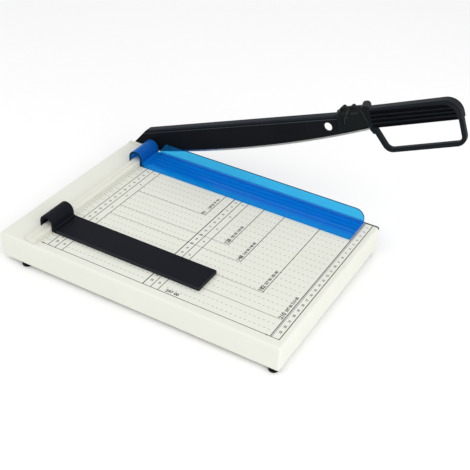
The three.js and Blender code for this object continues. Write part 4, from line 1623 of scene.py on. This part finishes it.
@dataclass
class Clips:
    """The paper stop and the guard, which both clip over the rail."""

    cutter: Cutter
    rail_left: float = -14.6
    rail_right: float = -2.2
    wall: float = 3.2
    top: float = 19.5
    clearance: float = 0.5
    leg_lift: float = 1.0
    leg_edge: float = 0.8
    foot: float = 2.6
    bed_gap: float = 0.3
    stop_front: float = -217.6
    stop_rear: float = -180.0
    stop_reach: float = 199.0
    stop_thickness: float = 4.4
    stop_corner: float = 1.6
    stop_edge: float = 0.6
    stop_under_edge: float = 0.25
    guard_front: float = -42.1
    guard_rear: float = -1.2
    guard_clip_rear: float = -4.0
    guard_reach: float = 296.0
    guard_thickness: float = 3.2
    guard_edge: float = 0.3
    guard_front_edge: float = 0.9
    guard_clip_edge: float = 0.4
    fin: float = 2.0
    fin_edge: float = 0.25
    fin_lift: float = 0.1
    fin_skin: float = 0.15
    fin_overlap: float = 0.4
    fin_fillet_edge: float = 1.0
    fin_height: float = 18.3
    fin_fillet: float = 2.6
    fin_start: float = 2.0
    fin_ramp: float = 10.0
    fin_corner: float = 12.0
    ribs: int = 5
    rib_width: float = 1.6
    rib_height: float = 0.5
    rib_margin: float = 4.5
    rib_slope: float = 0.3
    rib_edge: float = 0.2
    front_strip: float = 6.0
    fin_foot: float = 0.8
    rim_reach: float = 0.5
    rim_near: float = 0.1
    face_near: float = 0.05
    rim_slant: float = 0.3
    arch_rim_from: float = 4.0

    def clip(self, plate_top: float, reach: float, front: float, rear: float, edge: float) -> Form:
        """A hook that arches over the rail and runs out to the right as a plate.

        Args:
            plate_top: height of the plate's upper face.
            reach: where the plate ends on the right.
            front: its front side.
            rear: its rear side.
            edge: radius of its edges.

        Returns:
            The closed form.
        """
        wall = self.wall
        left = self.rail_left - self.clearance - wall
        right = self.rail_right + self.clearance + wall
        outer = (right - left) / 2 - self.cutter.seat_gap
        outline = rounded([
            (left, self.leg_lift, self.leg_edge), (left + wall, self.leg_lift, self.leg_edge),
            (left + wall, self.top - wall, outer - wall), (right - wall, self.top - wall, outer - wall),
            (right - wall, self.bed_gap), (reach, self.bed_gap), (reach, plate_top),
            (right, plate_top, self.foot), (right, self.top, outer), (left, self.top, outer),
        ])
        return plate_form([outline], edge_profile(front, rear, edge), Along.Y)

    def plate_start(self, extra: float) -> float:
        """Where the flat plate leaves the clip's foot."""
        return self.rail_right + self.clearance + self.wall + self.foot + extra

    def stop(self) -> list[Form]:
        """The clip and the long flat stop, whose rounded edges and sides are coloured paler as painted
        highlights.

        Returns:
            The clip and the bar.
        """
        start = self.plate_start(0.0)
        front, rear, gap, thick = self.stop_front, self.stop_rear, self.bed_gap, self.stop_thickness
        reach, corner, under = self.stop_reach, self.stop_corner, self.stop_under_edge
        outline = rounded([
            (start - 1, front), (reach, front, corner), (reach, rear, corner), (start - 1, rear),
        ])
        edges = edge_profile(gap, thick, self.stop_edge, steps=4)
        edges = np.vstack([[(gap, under), (gap + under, 0.0)], edges[len(edges) // 2 :]])
        bar = plate_form([outline], edges, Along.Z)
        # Painted highlight: every face below the top takes the paler side colour
        bar.slots = np.where(bar.centres()[:, 2] < thick - HAIR, 1, 0)
        return [self.clip(thick, start + 1, front, rear, self.stop_edge), bar]

    def guard_forms(self) -> list[Form]:
        """The clip, the ribbed plate as one section along X, and the upright fin.

        Returns:
            The three forms, which overlap.
        """
        front, rear, gap, thick = self.guard_front, self.guard_rear, self.bed_gap, self.guard_thickness
        start = self.plate_start(self.fin)
        half, top = self.rib_width / 2, thick + self.rib_height
        wide = half + self.rib_slope
        fin_front = rear - self.fin
        ribs = np.linspace(front + self.rib_margin, fin_front - self.rib_margin, self.ribs)[::-1]
        rise, within, edge = thick + self.fin_fillet, fin_front + self.fin_overlap, self.rib_edge
        corners: list[Corner] = [
            (front, gap, self.guard_edge), (rear, gap, self.guard_edge), (rear, thick), (within, thick),
            (within, rise), (fin_front - self.fin_skin, rise),
            (fin_front - self.fin_fillet, thick, self.fin_fillet_edge),
        ]
        for y in ribs:
            corners += [(y + wide, thick), (y + half, top, edge)]
            corners += [(y - half, top, edge), (y - wide, thick)]
        corners.append((front, thick, self.guard_front_edge))
        section = rounded(corners, step=20)
        plate = plate_form([section], np.array([[start, 0.0], [self.guard_reach, 0.0]]), Along.X)
        bottom = gap + self.fin_lift
        fin_outline = rounded([
            (self.fin_start, bottom), (self.guard_reach, bottom),
            (self.guard_reach, self.fin_height, self.fin_corner),
            (self.fin_start + self.fin_ramp, self.fin_height, self.fin_ramp / 2), (self.fin_start, thick),
        ])
        fin = plate_form([fin_outline], edge_profile(fin_front, rear, self.fin_edge, steps=2), Along.Y)
        clip = self.clip(thick, start + self.fin, front, self.guard_clip_rear, self.guard_clip_edge)
        return [clip, plate, fin]

    def guard(self) -> bpy.types.Mesh:
        """Unites the guard's forms into one skin, so that no wall shows inside the clear plastic.

        Returns:
            Its mesh, in place and tinted.
        """
        maker = self.cutter.maker
        parts = [
            maker.linked(f"part_{k}", maker.mesh(f"part_{k}", [form], self.cutter.base))
            for k, form in enumerate(self.guard_forms())
        ]
        for part in parts[1:]:
            union = parts[0].modifiers.new("union", "BOOLEAN")
            union.operation = "UNION"
            union.solver = "EXACT"
            union.object = part
        graph = bpy.context.evaluated_depsgraph_get()
        mesh = bpy.data.meshes.new_from_object(parts[0].evaluated_get(graph))
        for part in parts:
            bpy.data.objects.remove(part)
        mesh.materials.clear()
        self.tint(mesh)
        return mesh

    def tint(self, mesh: bpy.types.Mesh) -> None:
        """Gives each face of the guard its tint.

        Rims are the darkest, then ribs and the far end, the clip's arch, the plate's front strip and the
        rest of the plate. The fin keeps the palest tint.

        Args:
            mesh: of the united guard.
        """
        to_right, to_rear = read_vectors(mesh.polygons, "normal").T[:2]
        x, y, z = (read_vectors(mesh.polygons, "center") / MM - self.cutter.origin).T
        fin_front = self.guard_rear - self.fin
        on_plate = x > self.plate_start(0.0)
        on_fin = (z > self.guard_thickness + self.fin_foot) & (y > fin_front - self.rim_near)
        edge, slant = self.rim_reach, self.rim_slant
        rims = on_fin & (np.abs(to_rear) < 0.5)
        rims |= (y < self.guard_front + edge) & (to_rear < -slant) & ~on_plate
        high = (x < self.fin_start) & (z > self.arch_rim_from)
        rims |= high & (y > self.guard_clip_rear - edge) & (to_rear > slant)
        deep = (y < fin_front - self.face_near) | (x < self.fin_start)
        raised = deep & on_plate & (z > self.guard_thickness + self.face_near)
        raised |= ~on_fin & (to_right > 0.5) & (x > self.guard_reach - self.rim_near)
        arch = deep & (x < self.plate_start(-self.foot))
        strip = (y < self.guard_front + self.front_strip) & on_plate
        tints = [GUARD_FINISHES.index(tint) for tint in (
            CLEAR_BLUE_RIM, CLEAR_BLUE_CLIP, CLEAR_BLUE_FRONT, CLEAR_BLUE_RIB, CLEAR_BLUE_DEEP,
        )]
        self.cutter.maker.mark(mesh, np.select([rims, arch, strip, raised, deep], tints, 0))

    def build(self) -> None:
        """Makes the stop and the guard."""
        cutter = self.cutter
        cutter.maker.piece(
            "sliding_stop", self.stop(), cutter.base, [STOP_PLASTIC, STOP_SIDE_HIGHLIGHT], Body.STOP,
            stands_for=["paper_stop"], slot="stop_plastic",
        )
        cutter.maker.piece(
            "blade_guard", self.guard(), cutter.base, GUARD_FINISHES, Body.GUARD,
            stands_for=["safety_guard"], slot="clear_blue",
        )


@dataclass
class Blade:
    """The cutting blade with its ground edge and folded back flange."""

    cutter: Cutter
    thickness: float = 2.5
    plate_edge: float = 0.2
    top: float = 34.5
    flange: float = 12.0
    flange_edge: float = 0.8
    back_rows: tuple[float, ...] = (0.0, 0.3, 0.6, 1.0)
    fold: float = 1.8
    tuck: float = 0.25
    proud: float = 0.12
    hem_low: float = 29.7
    hem_line: float = 1.0
    hem_edge: float = 0.08
    edge_radius: float = 1445.0
    edge_lowest: float = 140.0
    edge_start: float = 31.0
    edge_end: float = 343.5
    edge_land: float = 0.5
    edge_bevel: float = 3.0
    ground_band: float = 2.1
    heel_radius: float = 19.0
    heel_slope: float = 30.0
    hole_at: Corner = (292.6, 21.5)
    hole_radius: float = 5.2
    bolt_hole: float = 4.3
    flange_end: float = 337.0
    shank_end: float = 344.6
    tang_low: float = 24.0
    tang_high: float = 32.0
    tang_end: float = 418.0

    def edge(self, u: Points | float) -> Points | float:
        """Height of the cutting edge: a circle of the edge's radius above its lowest point."""
        return self.edge_radius - np.sqrt(self.edge_radius**2 - (u - self.edge_lowest) ** 2)

    def heel(self) -> Points:
        """The arc round the bolt, from where the heel's slope leaves it."""
        return arc((0.0, 0.0), self.heel_radius, 90 + self.heel_slope, 360 - self.heel_slope, step=5)

    def slope_at(self, height: Points | float) -> Points | float:
        """Where the heel's slope has that height."""
        u, v = self.heel()[0]
        return u + (height - v) / math.tan(math.radians(self.heel_slope))

    def outline(self) -> tuple[Points, Points]:
        """The blade's outline below its fold, and True for its points on the cutting edge.

        Returns:
            The points (u, v), and one truth value for each.
        """
        heel = self.heel()
        along = np.linspace(self.edge_start, self.edge_end, 90)
        edge = spread(along, self.edge(along))
        top = self.top - self.fold
        rest = np.array([
            (self.shank_end, self.tang_low), (self.tang_end, self.tang_low),
            (self.tang_end, self.tang_high), (self.flange_end, self.tang_high),
            (self.flange_end, top), (self.slope_at(top), top),
        ])
        points = np.vstack([heel, edge, rest])
        cutting = np.zeros(len(points), bool)
        cutting[len(heel) : len(heel) + len(edge)] = True
        return points, cutting

    def plate(self) -> Form:
        """The flat of the blade, whose rear face falls back to the cutting edge in a ground bevel.

        Returns:
            The closed form, whose ground faces have the second finish.
        """
        outline, cutting = self.outline()
        land, thick, front = self.edge_land, self.thickness, self.cutter.running_gap
        plain = edge_profile(front, front + thick, self.plate_edge, steps=2)
        depth = np.array([0.0, self.plate_edge, 2 * self.plate_edge, land, (land + thick) / 2, thick])
        ground = spread(front + depth, np.array([0, 0, 0, 0, 0.5, 1.0]) * self.edge_bevel)
        profile = np.where(cutting[None, :, None], ground[:, None], plain[:, None])
        along = np.linspace(self.edge_start + 1, self.edge_end, 90)
        marks = spread(along, self.edge(along) + self.ground_band)
        hole = circle(self.hole_at, self.hole_radius, count=48, clockwise=True)
        bolt = circle((0.0, 0.0), self.bolt_hole, clockwise=True)
        form = plate_form([outline, hole, bolt], profile, Along.Y, marks=marks)
        u, y, v = form.centres().T
        band = np.where(y < front + HAIR, self.ground_band, self.edge_bevel) + HAIR
        form.slots = ((v - self.edge(u) < band) & (u > self.edge_start)).astype(int)
        return form

    def back(self) -> Form:
        """The flange, fold and hem: a section (y, v) carried along the blade, cut at the heel's slope.

        The flange and fold are coloured lighter and bluer than the blade as painted light, and the hem's
        lower line paler still as a painted highlight.

        Returns:
            The closed form.
        """
        front = self.cutter.running_gap
        rear, top, thick = front + self.flange, self.top, self.thickness
        joint, hem = top - self.fold, self.hem_low
        face, inner, edge = front - self.proud, front + thick - self.tuck, self.flange_edge
        y, v = rounded([
            (face, hem, self.hem_edge), (inner, hem), (inner, top - thick), (rear, top - thick, edge),
            (rear, top, edge), (face, top, self.fold), (face, hem + self.hem_line),
        ], step=15).T
        start = self.slope_at(v) + np.where(v < joint + HAIR, self.tuck, 0.0)
        share = np.array(self.back_rows)[:, None]
        form = grid_form(spread(start + share * (self.flange_end - start), y, v))
        level = form.centres()[:, 2]
        # Painted light: faces above the joint take the lit flange colour, faces below the hem line the
        # pale highlight colour
        form.slots = np.select([level > joint + HAIR, level > hem + self.hem_line], [2, 0], 3)
        return form

    def build(self) -> None:
        """Makes the blade."""
        self.cutter.maker.piece(
            "upper_blade", [self.plate(), self.back()], self.cutter.arm,
            [BLADE_PAINT, GROUND_STEEL, LIT_FLANGE_PAINT, FOLD_HIGHLIGHT_PAINT], Body.ARM,
            stands_for=["cutting_blade"], slot="blade_black", crease=26,
        )


@dataclass(frozen=True)
class Bead:
    """A bead along a path (u, y, v) on the collar, with its finish number."""

    path: tuple[Corner, ...]
    radius: float
    slot: int = 1

    def form(self) -> Form:
        """The bead's form.

        Returns:
            The closed form.
        """
        form = bead_form(np.array(self.path), self.radius)
        form.slots = np.full(len(form.faces), self.slot)
        return form


@dataclass
class Handle:
    """The collar over the blade's end, with its lip, and the ribbed grip with its finger loop."""

    cutter: Cutter
    blade: Blade
    start: float = 303.8
    lean: float = 4.5
    skew: float = 6.0
    front: float = -0.9
    rear: float = 14.5
    shoulder: float = 36.0
    top: float = 40.6
    slope_end: float = 8.0
    above_edge: float = 5.0
    collar_length: float = 41.2
    collar_edges: tuple[float, float, float, float] = (0.3, 1.0, 2.5, 1.2)
    collar_rows: int = 32
    right_skew: float = 5.5 / 19
    right_levels: tuple[float, float, float] = (10.0, 24.0, 40.6)
    right_end: tuple[float, float, float] = (349.0, 347.1, 344.3)
    ridge_radius: float = 2.7
    ridge_sunk: float = 1.08
    ridge_front: float = 4.6
    ridge_edge: float = 0.8
    ridges: tuple[float, ...] = (313.2, 325.0)
    lip_corners: tuple[Corner, ...] = (
        (350.9, 44.3, 4.2), (338.4, 44.3, 4.2), (342.4, 30.9, 4.0), (344.8, 22.6, 2.0),
        (345.7, 16.0, 2.0), (348.6, 10.3, 1.8), (352.9, 10.3, 1.8), (349.4, 24.0, 3.0),
    )
    lip_front: float = 3.4
    lip_rear: float = 15.5
    lip_skew: float = 5.5
    lip_round: float = 0.8
    beads: tuple[Bead, ...] = (
        # The ridge over the shoulder, coloured paler as a painted highlight
        Bead(((319.9, -0.9, 33.2), (321.0, -0.9, 35.9), (322.2, 3.0, 38.0), (323.4, 6.6, 40.2)), 1.1),
        # The hook below it, coloured paler as a painted highlight
        Bead(((315.2, -0.9, 23.6), (317.2, -0.9, 31.2), (319.0, -0.9, 32.0), (321.8, -0.9, 30.9)), 1.0),
        # Edges at the top and at the left, coloured paler as painted highlights
        Bead(((325.8, -0.9, 35.9), (335.4, -0.9, 35.8)), 0.8),
        Bead(((308.7, -0.9, 31.8), (308.6, -0.9, 35.4), (311.6, 5.0, 38.8)), 0.5),
        # A dark bead painted as the shade of the groove left of the hook
        Bead(((313.1, -0.35, 23.0), (315.2, -0.35, 31.8)), 0.9, 2),
        # The lip's left edge, coloured paler as a painted highlight
        Bead((
            (340.6, -2.95, 40.4), (343.8, -2.95, 31.0), (346.4, -2.95, 22.6), (347.2, -2.95, 16.4),
            (350.0, -2.95, 11.8),
        ), 0.8),
    )
    grip_start: float = 348.0
    grip_end: float = 455.5
    grip_top: tuple[float, float] = (41.2, 44.6)
    grip_low: tuple[float, float] = (17.6, 21.2)
    grip_front: float = 6.5
    grip_rear: float = 9.5
    grip_edge: float = 3.6
    grip_corner: float = 19.0
    rim: float = 4.6
    ribs: int = 3
    rib_width: float = 1.8
    rib_wall: float = 0.5
    recess_wall: float = 0.7
    recess_depth: float = 2.2
    shaded_from: float = 1.21
    shaded_within: float = 1.15
    finer_from: float = 0.8
    coarse_rows: int = 70
    fine_rows: int = 40
    columns: int = 100
    evenness: float = 0.6
    least_height: float = 3.0
    recess_start: float = 351.5
    recess_bottom: float = 1.6
    loop: float = 5.0
    loop_front: float = 3.0
    loop_rear: float = 4.6
    loop_edge: float = 1.3
    loop_lead: float = 1.6
    loop_within: float = 5.0
    loop_end_within: float = 6.0
    loop_turn: float = 0.75
    loop_top_at: float = 348.4
    loop_left_at: float = 360.2
    loop_low: tuple[float, float] = (-13.8, -10.0)
    loop_corner: float = 12.0

    def collar_body(self) -> Form:
        """The collar: a section (y, v) carried along u, askew at its left end.

        Its top falls to the shoulder's height towards the left, and its bottom follows the blade's edge.

        Returns:
            The closed form.
        """
        low_front, low_rear, high, shoulder = self.collar_edges
        y, v = rounded([
            (self.front, 0.0, low_front), (self.rear, 0.0, low_rear), (self.rear, self.top, high),
            (self.slope_end, self.top, high), (self.front, self.shoulder, shoulder),
        ], step=12).T
        share = np.linspace(0, 1, self.collar_rows)[:, None]
        corner = self.start - self.skew
        rough = corner + share * (self.collar_length + self.skew)
        rise = np.clip((rough - corner) / (self.ridges[0] - self.ridge_radius - corner), 0, 1)
        tall = np.where(v > self.shoulder, self.shoulder + (v - self.shoulder) * rise, v)
        low = self.blade.edge(rough) + self.above_edge
        v = np.where(v < self.shoulder / 2, v + low, tall)
        across = (y - self.front) / (self.rear - self.front)
        left = self.start - self.skew * across + self.lean * v / self.top
        right = np.interp(v, self.right_levels, self.right_end) - y * self.right_skew
        return grid_form(spread(left + share * (right - left), y, v))

    def ridge(self, u: float) -> Form:
        """A rounded bar across the collar's top.

        Args:
            u: of its middle.

        Returns:
            The closed form.
        """
        outline = circle((u, self.top - self.ridge_sunk), self.ridge_radius, count=28)
        profile = edge_profile(self.ridge_front, self.rear, self.ridge_edge)
        return plate_form([outline], profile, Along.Y)

    def lip(self) -> Form:
        """The lip: wide on top, narrow at its waist, and sheared to the left towards the rear.

        Returns:
            The closed form.
        """
        profile = edge_profile(-self.lip_front, self.lip_rear, self.lip_round)
        form = plate_form([rounded(self.lip_corners)], profile, Along.Y)
        shear = self.lip_skew / (self.lip_front + self.lip_rear)
        return form.moved(lambda p: p - spread(p[:, 1] * shear, 0.0, 0.0))

    def grip_outline(self, shrink: float = 0.0) -> Points:
        """The grip's side outline, or its ribbed recess where it is shrunk by the rim.

        Args:
            shrink: the rim's width, or 0 for the grip itself.

        Returns:
            The points (u, v).
        """
        low, top = self.grip_low, self.grip_top
        if shrink:
            return rounded([
                (self.recess_start, low[0] + self.recess_bottom),
                (self.grip_end - shrink, low[1] + self.recess_bottom),
                (self.grip_end - shrink, top[1] - shrink, self.grip_corner - shrink),
                (self.recess_start, top[0] - shrink / 2),
            ])
        return rounded([
            (self.grip_start, low[0]), (self.grip_end, low[1]), (self.grip_end, top[1], self.grip_corner),
            (self.grip_start, top[0]),
        ])

    def grip_bar(self) -> Form:
        """The grip: both sides are sheets y(u, v) over one grid, joined round their border.

        A sheet falls back by R - sqrt(R^2 - (R - d)^2) at a distance d < R from the outline, and sinks
        by a smooth step inside the recess, where ribs are left standing.

        Returns:
            The closed form, whose sunk faces have the second finish, a painted shade that darkens the
            recess between the ribs.
        """
        outline, recess = self.grip_outline(), self.grip_outline(self.rim)
        u, v = self.grip_grid()
        flat = spread(u, v).reshape(-1, 2)
        border = distance_to(flat, outline).reshape(v.shape)
        away = np.where(inside(flat, [recess]), 1.0, -1.0) * distance_to(flat, recess)
        step = smooth(np.clip(away.reshape(v.shape) / self.recess_wall + 0.5, 0, 1))
        depth = self.recess_depth * step * (1 - self.grip_ribs(u, v))
        edge = self.grip_edge
        near = np.clip(edge - border, 0, edge)
        fallen = edge - np.sqrt(edge**2 - near**2)
        front = spread(u, -self.grip_front + fallen + depth, v)
        rear = spread(u, self.grip_rear - fallen - depth, v)
        form = grid_form(np.concatenate([front, rear[:, ::-1]], 1))
        centres = form.centres()
        # Painted shade: faces sunk deeper than shaded_from and away from the border take the darker
        # recess colour
        sunk = np.minimum(centres[:, 1] + self.grip_front, self.grip_rear - centres[:, 1])
        border_far = distance_to(centres[:, [0, 2]], outline) > self.shaded_within
        form.slots = ((sunk > self.shaded_from) & border_far).astype(int)
        return form

    def grip_grid(self) -> tuple[Points, Points]:
        """The grid of both sheets, closer towards the grip's end and its long borders.

        The top border falls by R - sqrt(R^2 - d^2) at a distance d beyond the start of its corner.

        Returns:
            u of each row, as a column, and v of each point.
        """
        part = self.finer_from
        fine = part + (1 - part) * np.sin(np.linspace(0, np.pi / 2, self.fine_rows)[1:])
        share = np.concatenate([np.linspace(0, part, self.coarse_rows), fine])[:, None]
        u = self.grip_start + share * (self.grip_end - self.grip_start)
        low, plain = (side[0] + share * (side[1] - side[0]) for side in (self.grip_low, self.grip_top))
        corner = self.grip_corner
        beyond = np.clip(u - (self.grip_end - corner), 0, None)
        fall = corner - np.sqrt(np.maximum(corner**2 - beyond**2, 0))
        high = np.maximum(plain - fall, low + self.least_height)
        level = np.linspace(0, 1, self.columns)
        closer = 0.5 - 0.5 * np.cos(np.pi * level)
        return u, low + (self.evenness * level + (1 - self.evenness) * closer) * (high - low)

    def grip_ribs(self, u: Points, v: Points) -> Points:
        """How much of a rib stands at each point of the grid, from 0 to 1.

        Args:
            u: of each row of the grid, as a column.
            v: of each point of the grid.

        Returns:
            The share of a rib's height for each point.
        """
        ribs = np.zeros(v.shape)
        lower = self.recess_bottom
        length = self.grip_end - self.grip_start - self.rim
        for k in range(self.ribs):
            part = (k + 1) / (self.ribs + 1)
            left = (self.grip_low[0] + lower) * (1 - part) + (self.grip_top[0] - self.rim / 2) * part
            right = (self.grip_low[1] + lower) * (1 - part) + (self.grip_top[1] - self.rim) * part
            middle = left + (right - left) * (u - self.recess_start) / length
            off = np.abs(v - middle) - self.rib_width / 2
            ribs = np.maximum(ribs, np.clip(0.5 - off / self.rib_wall, 0, 1))
        return smooth(ribs)

    def finger_loop(self) -> Form:
        """The loop: a rounded section (n, y) carried down, along and up again between the grip's ends.

        Returns:
            The closed form.
        """
        half, edge = self.loop / 2, self.loop_edge
        corner, right = self.loop_corner - half, self.grip_end - half
        lean = np.array([self.loop_left_at - self.loop_top_at, self.grip_low[0] - self.loop_low[0]])
        slanted = half * np.linalg.norm(lean) / lean[1]
        start = self.loop_top_at + slanted
        line = rounded([
            (start - self.loop_lead, self.grip_low[0] + self.loop_within), (start, self.grip_low[0]),
            (self.loop_left_at + slanted * self.loop_turn, self.loop_low[0] + half, corner),
            (right, self.loop_low[1] + half, corner), (right, self.grip_low[1] + self.loop_end_within),
        ], step=5)
        u, v = line.T
        ahead, up = unit(np.gradient(line, axis=0)).T
        section = rounded([
            (-half, -self.loop_front, edge), (half, -self.loop_front, edge),
            (half, self.loop_rear, edge), (-half, self.loop_rear, edge),
        ], step=18)
        return swept_form(spread(u, 0.0, v), spread(-up, 0.0, ahead), section)

    def build(self) -> None:
        """Makes the collar and the grip."""
        cutter = self.cutter
        ridges = [self.ridge(u) for u in self.ridges]
        beads = [bead.form() for bead in self.beads]
        cutter.maker.piece(
            "blade_collar", [self.collar_body(), *ridges, self.lip(), *beads], cutter.arm,
            [COLLAR_PLASTIC, COLLAR_HIGHLIGHT, RECESS_SHADE], Body.ARM,
            stands_for=["handle_collar"], slot="collar_plastic", crease=36,
        )
        cutter.maker.piece(
            "ribbed_grip", [self.grip_bar(), self.finger_loop()], cutter.arm,
            [GRIP_PLASTIC, RECESS_SHADE], Body.ARM,
            stands_for=["handle_grip"], slot="grip_plastic", crease=50,
        )


@dataclass
class Studio:
    """Pale floor, soft light and the photograph's camera."""

    eye: tuple[float, float, float] = (0.420845, -0.74139, 0.64887)
    azimuth: float = 28.862
    elevation: float = 35.506
    roll: float = 2.516
    focal_pixels: float = 903.34
    sensor: float = 36.0
    clip: tuple[float, float] = (0.01, 50.0)
    lights: tuple[tuple[str, Corner, float, float], ...] = (
        ("key_light", (1.35, -0.7, 1.0), 1.2, 12.0), ("fill_light", (-0.75, -1.15, 1.45), 0.7, 3.0),
    )
    surroundings: float = 0.91
    floor_reach: float = 6000.0
    floor_top: float = -0.2
    floor_bottom: float = -10.0

    def camera(self) -> None:
        """Looks down by elevation and round by azimuth, with the horizon turned by roll."""
        around, down, roll = (math.radians(a) for a in (self.azimuth, self.elevation, self.roll))
        flat = math.cos(down)
        ahead = Vector((-math.sin(around) * flat, math.cos(around) * flat, -math.sin(down)))
        level = Vector((math.cos(around), math.sin(around), 0.0))
        over = level.cross(ahead)
        right = level * math.cos(roll) + over * math.sin(roll)
        up = right.cross(ahead)
        data = bpy.data.cameras.new("camera")
        data.sensor_width = self.sensor
        data.lens = self.focal_pixels / PHOTO_SIZE * self.sensor
        data.clip_start, data.clip_end = self.clip
        camera = bpy.data.objects.new("camera", data)
        axes = Matrix((right, up, -ahead)).transposed().to_4x4()
        camera.matrix_world = Matrix.Translation(self.eye) @ axes
        bpy.context.scene.collection.objects.link(camera)
        bpy.context.scene.camera = camera

    def light(self, name: str, place: Corner, size: float, power: float) -> None:
        """A square soft light that faces the cutter.

        Args:
            name: of the light.
            place: where it stands, in metres.
            size: of its sides, in metres.
            power: in watts.
        """
        data = bpy.data.lights.new(name, "AREA")
        data.size, data.energy = size, power
        lamp = bpy.data.objects.new(name, data)
        lamp.location = place
        lamp.rotation_mode = "QUATERNION"
        lamp.rotation_quaternion = (-Vector(place)).to_track_quat("-Z", "Y")
        bpy.context.scene.collection.objects.link(lamp)

    def floor(self, maker: Maker) -> None:
        """A wide pale sheet just under the feet.

        Args:
            maker: makes its mesh and its material.
        """
        outline = np.array([(-1, -1), (1, -1), (1, 1), (-1, 1)]) * self.floor_reach
        profile = np.array([[self.floor_bottom, 0.0], [self.floor_top, 0.0]])
        form = plate_form([outline], profile, Along.Z)
        floor = maker.linked("floor", maker.mesh("floor", [form], Place((0.0, 0.0, 0.0))))
        floor.data.materials.append(maker.material(FLOOR_PAPER))

    def build(self, maker: Maker) -> None:
        """Makes the floor, the lights, the camera and the pale surroundings.

        Args:
            maker: makes the floor's mesh and material.
        """
        self.floor(maker)
        for light in self.lights:
            self.light(*light)
        world = bpy.data.worlds.new("studio")
        world.use_nodes = True
        background = world.node_tree.nodes["Background"]
        background.inputs["Color"].default_value = (1.0, 1.0, 1.0, 1.0)
        background.inputs["Strength"].default_value = self.surroundings
        bpy.context.scene.world = world
        bpy.context.scene.view_settings.view_transform = "Standard"
        self.camera()


def main() -> None:
    """Builds every sub-assembly in order."""
    logging.basicConfig(level=logging.INFO, format="%(name)s %(message)s")
    cutter = Cutter()
    Studio().build(cutter.maker)
    Tray(cutter).build()
    Print(cutter).build()
    RearEdge(cutter).build()
    Fixings(cutter).build()
    Clips(cutter).build()
    blade = Blade(cutter)
    blade.build()
    Handle(cutter, blade).build()


if __name__ == "__main__":
    main()
